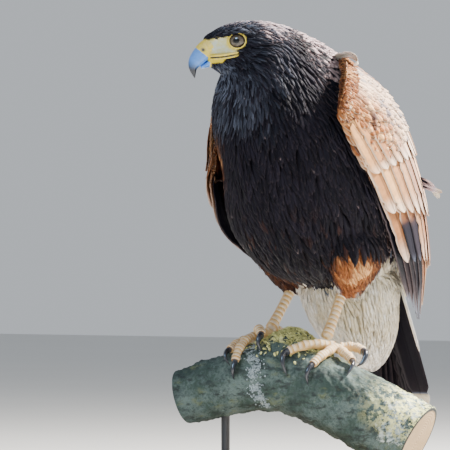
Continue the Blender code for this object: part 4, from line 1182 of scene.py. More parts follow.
def skin_and_way(skin, points):
    """Nearest places on the skin with the way out there."""
    near = onto_skin(skin, points)
    return near, unit(onto_skin(skin, near, 0.001) - near)


def scattered(skin, count):
    """Random places spread evenly by area over the skin's faces."""
    mesh = skin.data
    mesh.calc_loop_triangles()
    corners = np.empty(len(mesh.loop_triangles) * 3, np.int32)
    mesh.loop_triangles.foreach_get("vertices", corners)
    a, b, c = np.moveaxis(points_of(mesh)[corners.reshape(-1, 3)], 1, 0)
    area = np.linalg.norm(np.cross(b - a, c - a), axis=1)
    pick = rng.choice(len(area), count, p=area / area.sum())
    s, t = rng.uniform(size=(2, count, 1))
    over = (s + t) > 1
    s, t = np.where(over, 1 - s, s), np.where(over, 1 - t, t)
    return a[pick] + s * (b - a)[pick] + t * (c - a)[pick] - FEET


GRID_SPAN = 4001  # more cubes than lie along any side of the model
GRID_LUCK = 0.30
GRID_REACH = 0.52


def thinned(points, gap):
    """Indices of points about a gap apart: in each cube of a grid, the one nearest the cube's middle."""
    kept = []
    for level in np.unique(gap):
        index = np.flatnonzero(gap == level)
        grid = points[index] / level
        cube = np.floor(grid).astype(np.int64)
        key = (cube[:, 0] * GRID_SPAN + cube[:, 1]) * GRID_SPAN + cube[:, 2]
        off = np.linalg.norm(grid - cube - 0.5, axis=1)
        order = np.lexsort((off + rng.uniform(0, GRID_LUCK, len(off)), key))
        first = np.unique(key[order], return_index=True)[1]
        chosen = order[first]
        kept.append(index[chosen[off[chosen] < GRID_REACH]])
    return np.concatenate(kept)


BILL_ROOT = (0.022, 0.0, -0.006)
COAT_AWAY = (0.0, 0.016, 0.035, 0.060, 0.100, 0.160)
COAT_LENGTH = (0.0026, 0.0036, 0.0070, 0.0125, 0.0170, 0.0205)


def coat_length(points):
    """Length of the feathers by distance from the bill's root: tiny on the face, longest on the belly."""
    return np.interp(np.linalg.norm(in_head(points) - BILL_ROOT, axis=-1), COAT_AWAY, COAT_LENGTH)


def lie(points):
    """The way feathers lie: back over the head, down the throat, breast and back, with slow drifts."""
    forward, _, up = by_head(points)
    nose, _, top = head_axes()
    on_head = fade(forward, -0.040, -0.012) * fade(up, -0.045, -0.026)
    droop = 0.06 + 1.2 * fade(-up, 0.000, 0.030)
    back_over = -nose - top * droop[:, None]
    down = np.broadcast_to((0.0, 0.42, -1.0), points.shape)
    way = unit(back_over) * on_head[:, None] + unit(down) * (1 - on_head)[:, None]
    drift = np.stack([ripple(points, 0.022, 30 + i) for i in range(3)], -1)
    return unit(way + 0.16 * drift + rng.normal(0, 0.09, points.shape))


KEEPS_WAY = 0.3  # how much of its way a wholly stiff feather keeps from step to step


def traced(skin, roots, ways, lengths, stations, stiff):
    """Paths that start along the given ways and follow the skin. Stiff ones leave it where it curves away."""
    here, out = skin_and_way(skin, roots)
    way = unit(ways - (ways * out).sum(-1, keepdims=True) * out)
    places, outs = [here], [out]
    for step in np.diff(stations):
        ahead = here + way * (lengths * step)[:, None]
        near, out = skin_and_way(skin, ahead)
        lift = np.maximum(((ahead - near) * out).sum(-1), 0) * stiff
        there = near + out * lift[:, None]
        moved = there - here
        kept = way * np.linalg.norm(moved, axis=-1, keepdims=True) * KEEPS_WAY * stiff
        way = unit(moved * (1 - KEEPS_WAY * stiff) + kept)
        here = there
        places.append(here)
        outs.append(out)
    return np.stack(places, 1), np.stack(outs, 1)


SOFT_BARB = 0.0005
LONG_BARB = 0.0008
MAP_PATCH = 0.003  # a small feather's own patch on the bake map


def small_feathers(path, out, half, outline, thick, marks, roots_on_map, cup):
    """Closed three-edged blades: left edge, raised ridge and right edge at each station along the path.

    An edge is half a width times the outline out to the side, and sinks by cup times that."""
    ahead = np.gradient(path, axis=1)
    side = unit(np.cross(ahead, out))
    up = unit(np.cross(side, ahead))
    reach = half[:, None, None] * outline[None, :, None]
    edge = side * reach
    sunk = up * reach * cup
    ridge = path + up * thick
    rings = np.stack((path - edge - sunk, ridge, path + edge - sunk), 2)
    down = np.linspace(0, 1, path.shape[1])[None, :, None]
    across = np.array((-1.0, 0.0, 1.0))[None, None, :]
    length = np.linalg.norm(np.diff(path, axis=1), axis=-1).sum(1)[:, None, None]
    barb = (down * length - np.abs(across) * half[:, None, None] * 1.2) / SOFT_BARB
    values = {key: amount[:, None, None] for key, amount in marks.items()}
    values.update(across=across, down=down, barb=barb)
    patch = np.stack(np.broadcast_arrays((across + 1) / 2, down), -1) * MAP_PATCH
    return tubes(rings, values, {"OFBake": roots_on_map[:, None, None, :] * 0.99 + patch})


def skin_map(points):
    """An unwrap of the skin: the turn round its upright axis and the height, both from 0 to 1."""
    turn = np.arctan2(points[:, 0], points[:, 1] - 0.01 + 0.35 * np.maximum(points[:, 2] - 0.16, 0))
    return np.stack((turn / (2 * math.pi) + 0.5, np.clip((points[:, 2] + 0.04) / 0.37, 0, 1)), -1)


# A soft feather along its length: stations, half-width, height over the skin for one of SOFT_LENGTH
SOFT_AT = np.array((0.0, 0.28, 0.58, 0.84, 1.0))
SOFT_OUTLINE = np.array((0.45, 0.95, 1.0, 0.70, 0.10))
SOFT_RISE = np.array((-0.0004, 0.0011, 0.0019, 0.0025, 0.0028))
SOFT_LENGTH = 0.016


def soft_coat(
    skin, name, roots, slot, length,
    slim=0.17, stiff=0.35, rise=1.0, thick=0.00035, cup=0.25, ways=None, colours=None,
):
    """One piece of the coat: soft feathers from these roots, following the lie over the skin.

    slim is half a width to the length; colours are shares of chestnut, white and worn edges, with the
    painted light that markings give them. The tone also carries painted sunlight and shade."""
    n = len(roots)
    length = length * rng.uniform(0.78, 1.16, n)
    path, out = traced(skin, roots, lie(roots) if ways is None else ways, length, SOFT_AT, stiff)
    scale = (np.clip(length / SOFT_LENGTH, 0.25, 1.2) * rise)[:, None]
    height = SOFT_RISE[None, :] * scale + rng.normal(0, 0.00020, n)[:, None] * scale * SOFT_AT
    sway = rng.normal(0, 0.05, n)[:, None] * SOFT_AT**2 * length[:, None]
    side = unit(np.cross(np.gradient(path, axis=1), out))
    path = path + out * height[..., None] + side * sway[..., None]
    rufous, pale, worn = markings(path[:, 0]) if colours is None else colours
    luck = rng.uniform(size=n)
    # Painted sunlight: the tone rises on the patch of the left thigh where the sun falls.
    middle = (roots - SUNNY_THIGH) / SUNNY_REACH
    tone_and_light = (1.4 * np.exp(-(middle**2).sum(-1)) - 0.35) * (rufous > 0.3) * (roots[:, 2] < 0.12)
    # Painted light and shade on white feathers: whiter low and to the right, creamier higher and to the left.
    shaded = fade(roots[:, 2] + 0.9 * roots[:, 0], 0.020, 0.070) * 0.85 - 0.40
    tone_and_light = tone_and_light - shaded * (pale > 0.5)
    tone_and_light = tone_and_light - 0.35 * (1 - fade(roots[:, 2], 0.070, 0.150)) * (pale < 0.3) * (rufous < 0.3)
    wisp = (luck > 0.98) * rng.uniform(0.05, 0.25, n)
    marks = {
        "tone": np.clip(0.43 + tone_and_light + 0.28 * ripple(roots, 0.02, 61) + rng.normal(0, 0.2, n), 0, 1),
        "rufous": np.clip(rufous + rng.normal(0, 0.12, n) * fade(rufous, 0.0, 0.2), 0, 1),
        "pale": np.clip(pale * (1 + rng.normal(0, 0.09 + 0.9 * (pale < 0.5), n)), 0, 1),
        "worn": np.clip(worn * (0.5 + luck) + wisp, 0, 1),
    }
    half = slim * length * rng.uniform(0.85, 1.15, n)
    shape = small_feathers(path, out, half, SOFT_OUTLINE, thick, marks, skin_map(roots), cup)
    return mesh_piece(name, shape, plumage)


# A long feather along its length: stations, and half-width, full by the middle and rounded off at the tip
LONG_AT = np.concatenate((np.linspace(0, 0.88, 26), np.linspace(0.90, 1.0, 12)))
LONG_OUTLINE = np.interp(LONG_AT, (0, 0.12, 0.42, 0.86, 1), (0.62, 0.9, 1, 0.92, 0.9)) * np.maximum(
    np.sqrt(np.clip(1 - (np.clip(LONG_AT - 0.84, 0, 1) / 0.162) ** 2, 0, 1)), 0.06
)
# Wing feathers: half-width to the gap between them, how far one edge stands over the other
TIER_WIDE = 0.85
TIER_TILT = 0.0009


def vane_sheet(middle, half, height, place, thick=0.0006, count=7, ridge=0.0004, tilt=0.0, cup=0.0):
    """Closed flat feathers over place(along, across, height): a grid from edge to edge, top and underside.

    middle is along and across for each feather and station, half the half-width there."""
    w = np.linspace(-1, 1, count)
    along, across = middle
    over = across[..., None] + half[..., None] * w
    rise = height[..., None] - cup * w**2 - tilt * w + ridge * bell(w, 0.16)
    body = thick * (1 - 0.75 * w**4)
    top = place(along[..., None] + 0 * w, over, rise + body / 2)
    low = place(along[..., None] + 0 * w, over, rise - body / 2)
    return np.concatenate((top, low[..., ::-1, :]), -2), np.concatenate((w, w[::-1]))


SPLITS = 3
SPLIT_WIDTH = 0.013


def torn(feathers):
    """Edges cut here and there where the barbs have parted: a factor of width per feather and station."""
    at = rng.uniform(0.25, 0.95, (feathers, SPLITS, 1))
    deep = rng.uniform(0.05, 0.32, (feathers, SPLITS, 1))
    cut = deep * bell(LONG_AT[None, None, :] - at, SPLIT_WIDTH)
    return 1 - cut.max(1)


def tier(rows):
    """Middle lines of a tier of wing feathers: along, across and height for each feather and station."""
    count, first, last, (root, free) = rows
    turn = np.linspace(0, 1, count)
    start, end = through(first, turn), through(last, turn)
    t = LONG_AT[None, :]
    along = start[:, 0:1] + (end[:, 0:1] - start[:, 0:1]) * t
    across = start[:, 1:2] + (end[:, 1:2] - start[:, 1:2]) * t**0.8
    height = root + (free - root) * np.clip(t / 0.3, 0, 1) + 0 * along
    return along, across, height


def wing_tier(name, side, rows, marks, thick=0.0006):
    """One tier of overlapping wing feathers; marks(across) gives their colours."""
    along, across, height = tier(rows)
    count = len(along)
    half = TIER_WIDE * np.gradient(across, axis=0) * LONG_OUTLINE[None, :] * torn(count)
    shake = rng.normal(0, 0.00025, (count, 1)) * LONG_AT[None, :]
    place = partial(wing_place, side)
    rings, w = vane_sheet((along, across), half, height + shake, place, thick, tilt=TIER_TILT)
    return mesh_piece(name, vane_shape(rings, w, marks(across)), plumage)


def vane_shape(rings, w, marks):
    """Values and maps for long feathers: each one's patch is a strip of its own."""
    n, s, m = rings.shape[:3]
    down = np.broadcast_to(LONG_AT[None, :, None], (n, s, m))
    steps = np.linalg.norm(np.diff(rings[:, :, m // 4], axis=1), axis=-1)
    run = np.concatenate((np.zeros((n, 1)), np.cumsum(steps, axis=1)), 1)
    width = np.linalg.norm(rings[:, :, m // 2 - 1] - rings[:, :, 0], axis=-1)
    barb = (run[..., None] - np.abs(w) * width[..., None] * 0.5) / LONG_BARB
    values = {"across": np.broadcast_to(w, (n, s, m)), "down": down, "barb": barb}
    for key, amount in marks.items():
        values[key] = np.broadcast_to(amount, (n, s))[..., None]
    strip = (np.arange(n)[:, None, None] + 0.06 + 0.88 * (w + 1) / 2) / n
    return tubes(rings, values, {"OFBake": np.stack(np.broadcast_arrays(strip, down * 0.98 + 0.01), -1)})


def flight_marks(rufous, pale_tip, worn, tone_and_light, painted_glare=0.0):
    """Colours of a wing's tier: dark brown with a share of chestnut, less of it towards the back.

    The last argument is how much painted sunlight whitens its middle feathers; the pale edges and the tone
    may carry painted sunlight too."""

    def marks(across):
        count = len(across)
        outer = 1 - fade(across, 0.55, 0.85)
        tone = np.clip(rng.normal(tone_and_light, 0.12, (count, 1)) - 0.6 * (1 - outer), 0, 1)
        warm = rufous * (0.25 + 0.75 * outer) * (1.05 - 0.35 * LONG_AT[None, :])
        warm = warm + rng.normal(0, 0.05, (count, 1))
        pale = pale_tip * fade(LONG_AT, 0.93, 1.0)[None, :]
        pale = pale + painted_glare * bell(across - 0.45, 0.19)
        edges = worn * rng.uniform(0.6, 1.2, (count, 1))
        return {"tone": tone, "rufous": np.clip(warm, 0, 1), "pale": pale, "worn": np.clip(edges, 0, 1)}

    return marks


def shoulder_form(side):
    """The wing's core, closed all round, its top and underside heights from the table."""
    along = np.linspace(0, SHOULDER[-1][0], 40)
    heights = through(SHOULDER, along)
    across = np.concatenate((np.linspace(0.012, 0.988, 36), np.linspace(0.988, 0.012, 36)))
    crown = np.sin(np.linspace(0, math.pi, 36)) ** SHOULDER_POWER
    top = heights[:, 0:1] * crown[None, :] - SHOULDER_EDGE * (1 - crown[None, :])
    low = heights[:, 1:2] * crown[None, ::-1] - SHOULDER_EDGE * (1 - crown[None, ::-1])
    return wing_place(side, along[:, None], across[None, :], np.concatenate((top, low), 1))


# Lesser coverts: rows and feathers in each; stations along one, its half-width there and its height
SCALE_ROWS = (17, 40)
SCALE_AT = np.array((0.0, 0.25, 0.5, 0.75, 0.9, 1.0))
SCALE_OUTLINE = np.array((0.45, 0.9, 1.0, 0.86, 0.55, 0.10))
SCALE_RISE = np.array((-0.0010, 0.0006, 0.0014, 0.0020, 0.0024, 0.0026))
SCALE_LENGTH = 0.012
SCALE_SLIM = 0.34


def scale_coverts(name, side):
    """Lesser coverts: rounded scale-like feathers in staggered rows over the shoulder, dark at the heart; on
    the left wing, painted sunlight makes them paler and whiter across the middle.
    """
    rows, columns = SCALE_ROWS
    i, j = np.meshgrid(np.arange(rows), np.arange(columns), indexing="ij")
    a = (-0.01 + 0.285 * (i / (rows - 1)) ** 0.9 + rng.normal(0, 0.003, i.shape)).ravel()
    b = (0.012 + 0.976 * (j + 0.5 * (i % 2)) / (columns - 0.5) + rng.normal(0, 0.004, i.shape)).ravel()
    a = np.maximum(a, 0.0)
    b = np.clip(b, 0.01, 0.99)
    n = len(a)
    size = np.interp(a, (0, 0.10, 0.28), (0.0095, 0.0130, 0.0170)) * rng.uniform(0.85, 1.15, n)
    step = 1e-3
    here = wing_place(side, a, b, 0.0)
    per_along = np.linalg.norm(wing_place(side, a + step, b, 0.0) - here, axis=-1) / step
    per_across = np.linalg.norm(wing_place(side, a, b + step, 0.0) - here, axis=-1) / step
    turn = rng.normal(0, 0.14, n)
    along = a[:, None] + (size * np.cos(turn) / per_along)[:, None] * SCALE_AT
    across = b[:, None] + (size * np.sin(turn) / per_across)[:, None] * SCALE_AT
    crown = np.sin(math.pi * b) ** SHOULDER_POWER
    base = through(SHOULDER, a)[:, 0] * crown - SHOULDER_EDGE * (1 - crown)
    rise = base[:, None] + SCALE_RISE * (size / SCALE_LENGTH)[:, None]
    rise = rise + rng.normal(0, 0.0003, (n, 1)) * SCALE_AT
    path = wing_place(side, along, across, rise)
    out = unit(wing_place(side, along, across, rise + 1e-3) - path)
    patch = ripple(here, 0.035, 71) * 0.20 + rng.normal(0, 0.10, n)
    warm = np.clip(1.0 + patch - 0.7 * fade(a, 0.22, 0.36), 0, 1)
    warm = warm * np.where(rng.uniform(size=n) < 0.14, 0.35, 1)
    # Painted sunlight on the left wing: higher tone and some white across the middle of the coverts.
    painted_sunlight = (side > 0) * (1 - fade(b, 0.58, 0.78))
    if side > 0:
        warm = warm * (1 - 0.75 * fade(b, 0.55, 0.90))
    else:
        warm = 0.85 * warm * (1 - 0.85 * fade(b, 0.30, 0.75))
    marks = {
        "tone": np.clip(rng.normal(0.50, 0.22, n) + 0.38 * fade(b, 0.1, 0.45) * painted_sunlight, 0, 1),
        "rufous": warm,
        "pale": 0.40 * fade(b, 0.18, 0.45) * painted_sunlight,
        "worn": rng.uniform(0.1, 0.5, n),
    }
    roots = np.stack((b * 0.98, np.clip(a / 0.45, 0, 1)), -1)
    shape = small_feathers(path, out, size * SCALE_SLIM, SCALE_OUTLINE, 0.0003, marks, roots, 0.14)
    return mesh_piece(name, shape, plumage)


# Marginal coverts: random places tried, how far from the wing's edge they reach, gap between them
MARGIN_DRAWS = 30000
MARGIN_WIDTH = 0.0085
MARGIN_GAP = 0.0020


def marginal_coverts(name, side, core):
    """Small feathers that round the wing's front and leading edges, from the underside over to the top."""
    loose = scattered(core, MARGIN_DRAWS)
    along = np.concatenate((np.zeros(70), np.linspace(0.006, 0.43, 70)))
    across = np.concatenate((np.linspace(1, 0, 70), np.zeros(70)))
    edge = wing_place(side, along, across, -0.001)
    away = np.linalg.norm(loose[:, None, :] - edge[None], axis=-1)
    near = away.min(1) < MARGIN_WIDTH
    loose, nearest = loose[near], away.argmin(1)[near]
    kept = thinned(loose, np.full(len(loose), MARGIN_GAP))
    roots, along, across = loose[kept], along[nearest[kept]], across[nearest[kept]]
    n = len(roots)
    here = wing_place(side, along, across, 0.0)
    run = unit(wing_place(side, along + 0.01, across, 0.0) - here)
    out = unit(wing_place(side, along, across, 0.001) - here)
    ways = unit(run + out * 1.2 + rng.normal(0, 0.12, (n, 3)))
    length = np.interp(along, (0, 0.15, 0.43), (0.0080, 0.0090, 0.0120))
    warm = np.clip(1.0 - 0.75 * fade(along, 0.24, 0.42) + rng.normal(0, 0.15, n), 0, 1)
    colours = (warm * np.where(rng.uniform(size=n) < 0.15, 0.3, 1), np.zeros(n), rng.uniform(0.0, 0.45, n))
    shape = {"slim": 0.22, "stiff": 0.25, "rise": 0.8, "thick": 0.0003, "cup": 0.2}
    soft_coat(core, name, roots, "wing_feathers", length, ways=ways, colours=colours, **shape)


def make_wing(label, side):
    """A folded wing: core, marginal coverts, flight feathers, and three tiers of coverts over their roots.

    The left wing is painted as sunlit: paler, with more chestnut and pale edges on its rearmost primaries,
    and a few secondaries painted dark at the tip as shadow in a gap between feather groups."""
    core = tubes(shoulder_form(side), {"rufous": 0.6, "pale": 0.0, "bare": 0.0, "gold": 0.0})
    core = mesh_piece("wing_%s_core" % label, core, feather_skin, ("wing_" + label,))
    marginal_coverts("marginal_coverts_" + label, side, core)
    # Painted sunlight on the left wing: more chestnut, higher tone and pale edges, and a painted glare
    # whitening the middle feathers.
    warm, painted_sun_share, painted_glare = (1.0, 0.35, 0.35) if side > 0 else (0.7, 0.0, 0.0)
    last = np.interp(np.arange(PRIMARIES[0]), (4.5, 7), (0.0, painted_sun_share * 2))[:, None]
    marks = flight_marks(3.5 * last, 0.3, 0.10 + 0.6 * last, 0.15 + last)
    wing_tier("primaries_" + label, side, PRIMARIES, marks, 0.0007)
    # Painted shadow: the tips of these secondaries lose their chestnut and pale edges.
    dark = (side > 0) * np.isin(np.arange(SECONDARIES[0]), SHADOW_TIPPED)[:, None]
    whole = 1 - dark * fade(LONG_AT, 0.62, 0.72)[None, :]
    marks = flight_marks(0.8 * warm * whole, 0.1, 0.38 * whole, 0.42 + 0.5 * painted_sun_share, 0.2 * painted_glare)
    wing_tier("secondaries_" + label, side, SECONDARIES, marks)
    marks = flight_marks(0.95 * warm, 0.0, 0.45, 0.48 + 0.6 * painted_sun_share, 0.6 * painted_glare)
    wing_tier("greater_coverts_" + label, side, GREATER_COVERTS, marks, 0.0005)
    marks = flight_marks(warm, 0.0, 0.42, 0.5 + 0.8 * painted_sun_share, painted_glare)
    wing_tier("median_coverts_" + label, side, MEDIAN_COVERTS, marks, 0.0005)
    scale_coverts("lesser_coverts_" + label, side)


# Loose feathers: along, then x, y, z of the middle line; the way across each and its half-width
LOOSE = (
    (
        (0.00, 0.0360, 0.0027, 0.2570),
        (0.25, 0.0529, -0.0044, 0.2618),
        (0.50, 0.0621, -0.0048, 0.2628),
        (0.72, 0.0677, -0.0030, 0.2600),
        (0.88, 0.0689, -0.0021, 0.2555),
        (1.00, 0.0663, -0.0028, 0.2520),
    ),
    ((0.0, 0.0740, 0.0820, 0.1520), (0.5, 0.0830, 0.0900, 0.1455), (1.0, 0.0900, 0.0950, 0.1335)),
    ((0.0, 0.0735, 0.0820, 0.1460), (0.5, 0.0830, 0.0890, 0.1425), (1.0, 0.0930, 0.0950, 0.1390)),
)
LOOSE_ACROSS = ((0.46, -0.60, 0.65), (0.42, 0.25, 0.87), (0.30, 0.25, 0.92))
LOOSE_HALF = (0.0042, 0.0028, 0.0022)
LOOSE_THICK = 0.0003


def loose_feathers():
    """Feathers out of place: one curled up at the shoulder, two standing off the wing's rear edge."""
    paths = np.stack([through(rows, LONG_AT) for rows in LOOSE])
    ahead = unit(np.gradient(paths, axis=1))
    across = np.array(LOOSE_ACROSS)[:, None, :]
    side = unit(across - (across * ahead).sum(-1, keepdims=True) * ahead)
    out = np.cross(side, ahead)
    w = np.linspace(-1, 1, 7)
    reach = np.array(LOOSE_HALF)[:, None] * LONG_OUTLINE * torn(len(LOOSE))
    middle = paths[:, :, None] + (reach[..., None] * w)[..., None] * side[:, :, None]
    lift = 0.0003 * bell(w, 0.2) - 0.0006 * w**2
    out = out[:, :, None]
    top = middle + (lift + LOOSE_THICK / 2)[:, None] * out
    low = middle + (lift - LOOSE_THICK / 2)[:, None] * out
    tips = fade(LONG_AT, 0.55, 0.85)
    pale = np.stack((0.6 + 0.2 * tips, tips, 0.7 * tips))
    marks = {"tone": 0.2, "rufous": 0.0, "pale": pale, "worn": 0.9}
    rings = np.concatenate((top, low[:, :, ::-1]), 2)
    shape = vane_shape(rings, np.concatenate((w, w[::-1])), marks)
    return mesh_piece("loose_feathers", shape, plumage)


# Tail feathers: how many, half-width, how far each lies under the one before
TAIL_COUNT = 12
TAIL_HALF = 0.0135
TAIL_STEP = 0.00092


def make_tail():
    """Twelve tail feathers fanned a little, middle pair uppermost: white root, dark vane, white tip."""
    i = np.arange(TAIL_COUNT)
    side = np.where(i % 2, 1, -1)
    place = (i // 2 + 0.35) / (TAIL_COUNT / 2 - 0.5)
    reach = 1 - 0.035 * place**2
    along = (LONG_AT[None, :] * 0.985 + 0.01) * reach[:, None]
    across = (side * place)[:, None] * (through(TAIL, along)[..., 2] - TAIL_HALF)
    half = TAIL_HALF * LONG_OUTLINE[None, :] * torn(TAIL_COUNT)
    height = (0.0048 - TAIL_STEP * i)[:, None] - 0.0012 * place[:, None] * np.clip(LONG_AT * 2, 0, 1)[None, :]
    rings, w = vane_sheet((along, across), half, height, tail_place, 0.0005, 9, 0.0003, 0.0, 0.0002)
    tips = fade(LONG_AT, 0.905, 0.935)
    roots = 1 - fade(LONG_AT, 0.30, 0.36)
    tone = rng.uniform(0.0, 0.25, (TAIL_COUNT, 1))
    marks = {"tone": tone, "rufous": 0.0, "pale": np.maximum(tips, roots), "worn": 0.02}
    mesh_piece("tail_feathers", vane_shape(rings, w, marks), plumage, ("tail",))


def tail_edge():
    """The white outer vane that shows along the tail's left edge."""
    along = 0.22 + 0.44 * LONG_AT[None, :]
    across = through(TAIL, along)[..., 2] - 0.0010
    half = 0.0016 * LONG_OUTLINE[None, :]
    height = np.full(along.shape, -0.0068)
    rings, w = vane_sheet((along, across), half, height, tail_place, 0.0007, 5, 0.0003)
    marks = {"tone": 0.9, "rufous": 0.0, "pale": 1.0, "worn": 0.0}
    mesh_piece("tail_pale_edge", vane_shape(rings, w, marks), plumage)


def tail_root():
    """The fleshy root that holds the tail feathers together, flat and closed, and its white feathers."""
    along = np.linspace(-0.16, 0.40, 30)[:, None]
    turn = np.linspace(0, 1, 32, endpoint=False)[None, :]
    thick = np.interp(along, (-0.16, 0.0, 0.32, 0.40), (0.0065, 0.0060, 0.0050, 0.0020))
    left = through(TAIL, np.clip(along, 0, 1))[..., 2] * 0.92 * np.cos(2 * math.pi * turn)
    height = thick * np.sin(2 * math.pi * turn) - 0.0005
    values = {"rufous": 0.0, "pale": 1.0, "bare": 0.0, "gold": 0.0}
    shape = tubes(tail_place(along, left, height), values)
    root = mesh_piece("tail_root", shape, feather_skin)
    loose = scattered(root, ROOT_DRAWS)
    loose = loose[loose[:, 2] > ROOT_BARE]
    loose = loose[thinned(loose, np.full(len(loose), ROOT_GAP))]
    n = len(loose)
    ways = unit(np.array((0.0, 0.30, -0.95)) + 5.0 * loose * (1, 0, 0) + rng.normal(0, 0.06, (n, 3)))
    colours = (np.zeros(n), np.ones(n), np.full(n, 0.05))
    shape = {"slim": 0.10, "stiff": 0.3, "rise": 0.4, "thick": 0.0001, "cup": 0.04}
    length = np.full(n, ROOT_LENGTH)
    soft_coat(root, "coat_tail_root", loose, "white_feathers", length, ways=ways, colours=colours, **shape)


def flat_ring(axis, turn, flat):
    """Ways out round an axis, its height flattened."""
    first = unit(np.cross(axis, UP))
    second = np.cross(axis, first)
    return np.cos(turn)[:, None] * first + np.sin(turn)[:, None] * second * flat


def ball(centre, axis, radius, bulge, count=48, sides=64, flat=1.0):
    """A sphere with a raised cornea about an axis; its gaze value is the angle from the axis."""
    angle = np.linspace(0.004, math.pi - 0.004, count)
    size = radius + bulge * np.exp(-((angle / 0.62) ** 4))
    ring = flat_ring(axis, full_turn(sides), flat)
    rings = np.asarray(centre) + size[:, None, None] * (
        np.cos(angle)[:, None, None] * axis + np.sin(angle)[:, None, None] * ring[None]
    )
    return tubes(rings, {"gaze": angle[:, None]})


def lid_form(side):
    """The yellow ring round an eye, thicker below, creased round its length."""
    axis = eye_axis(side)
    round_ring = flat_ring(axis, np.linspace(0, 2 * math.pi, 96), EYE_FLAT)
    path = eye_centre(side) + axis * LID_OUT + round_ring * LID_RADIUS
    roll = full_turn(16)
    lower = (round_ring * -UP).sum(-1)
    thick = LID_THICK * (1 + 0.25 * lower)[:, None] * (1 + 0.08 * np.cos(roll * 3)[None, :])
    rings = path[:, None, :] + thick[..., None] * (
        np.cos(roll)[None, :, None] * round_ring[:, None, :] * 1.25 + np.sin(roll)[None, :, None] * axis
    )
    return tubes(rings, {"pit": 0.0})


def beak(stations, count, sides, narrow, grow=0.0):
    """A bill half between its upper and lower lines; narrow draws its sides in towards the top."""
    rows = through(stations, np.linspace(stations[0][0], stations[-1][0], count))
    top, low, wide = rows[:, 0:2], rows[:, 2:4], rows[:, 4]
    middle, half = (top + low) / 2, (top - low) / 2
    turn = full_turn(sides)
    across, up = signed_power(np.cos(turn), 0.91), signed_power(np.sin(turn), 0.91)
    size = np.maximum(np.linalg.norm(half, axis=1), 1e-4)
    grow = np.broadcast_to(grow, (count, sides))
    plane = middle[:, None, :] + half[:, None, :] * (up[None, :] * (1 + grow / size[:, None]))[..., None]
    out = (wide[:, None] + grow) * (across * (1 - narrow * up))[None, :]
    return head_frame(plane[..., 0], out, plane[..., 1])


def make_bill():
    """Horny bill, waxy cere with nostrils over its root, and the lower bill with soft skin at its root."""
    rings = beak(BILL, BILL_RINGS, BILL_SIDES, BILL_NARROW)
    place = in_head(rings)
    ahead = (place[..., 0] - CERE_EDGE[0]) * CERE_LEAN[0] + (place[..., 2] - CERE_EDGE[1]) * CERE_LEAN[1]
    reach = fade(np.linspace(0, 1, BILL_RINGS), 0.2, 1.0)[:, None]
    mesh_piece("bill_upper_horn", tubes(rings, {"reach": reach}), bill_horn, ("bill_upper",))
    hole = np.linalg.norm(place - np.array(NOSTRIL) * (1, 0, 1) - np.abs(place) * (0, 1, 0), axis=-1)
    # The nostril's hollow, which is also painted dark as shade.
    pit = bell(hole, 0.0014)
    lip = bell(hole - 0.0019, 0.0007)
    grow = 0.0005 * (1 - fade(ahead, -0.0012, 0.0004)) - 0.0006 * fade(ahead, -0.0004, 0.0006)
    grow = grow + 0.0002 * ripple(rings, 0.004, 12) - 0.0003 * pit + 0.0003 * lip
    cere = tubes(beak(BILL, BILL_RINGS, BILL_SIDES, BILL_NARROW, grow), {"pit": np.clip(pit * 1.6, 0, 1)})
    mesh_piece("cere_skin", cere, cere_skin, ("cere",))
    jaw = beak(JAW, JAW_RINGS, JAW_SIDES, JAW_NARROW)
    mesh_piece("bill_lower_horn", tubes(jaw, {"reach": 0.1}), bill_horn, ("bill_lower",))
    base = 1 - fade(np.linspace(0, 1, JAW_RINGS), 0.50, 0.62)[:, None]
    soft = beak(JAW, JAW_RINGS, JAW_SIDES, JAW_NARROW, 0.0007 * base - 0.0004)
    mesh_piece("jaw_skin", tubes(soft, {"pit": 0.0}), cere_skin)


# The edge of the mouth: three strands, their height over its line, their size and how dark they are; the dark
# middle one is painted shade in the gap between the lips
LIPS = ((0.0010, 1.00, 0.0), (-0.0006, 0.62, 1.0), (-0.0020, 0.80, 0.0))
LIP_RADIUS = 0.0011


def make_mouth_edges():
    """The yellow edges of the mouth with a dark seam of painted shade between them."""
    t = np.linspace(0, 1, 40)
    rows = through(MOUTH, t)
    size = LIP_RADIUS * np.sin(np.clip(t * 0.9 + 0.1, 0, 1) * math.pi) ** 0.4
    size = (size * (1 + 0.10 * np.sin(t * 40)))[:, None]
    dark = np.array([row[2] for row in LIPS])[:, None, None]
    for label, side in SIDES:
        path = head_frame(rows[:, 0], side * (rows[:, 1] + 0.0002), rows[:, 2])
        rings = np.stack([tube_rings(path + UP * high, size * share, 16) for high, share, _ in LIPS])
        mesh_piece("mouth_edge_" + label, tubes(rings, {"pit": dark}), cere_skin)


def make_eyes():
    """Eyeballs and the rings round them."""
    for label, side in SIDES:
        eye = ball(eye_centre(side), eye_axis(side), EYE_RADIUS - 0.0004, 0.0004, flat=EYE_FLAT)
        mesh_piece("eyeball_" + label, eye, eye_gloss, ("eye_" + label,))
        mesh_piece("eyelid_" + label, lid_form(side), cere_skin)


def scutes(t, turn, count, front):
    """Plates along a leg: height runs up along each plate and drops at its end; front ones are broad."""
    phase = (t * count) % 1.0
    plate = phase**0.6 * (1 - fade(phase, 0.86, 1.0))
    broad = fade(np.cos(turn - front), -0.25, 0.25)
    return plate * broad, broad


SHANK_SIDES = 36
TOE_SIDES = 30
CLAW_SIDES = 24
PLATE = 0.0005  # height of a plate on the shank
TOE_PLATE = 0.00045
PLATE_SUNK = 0.0002


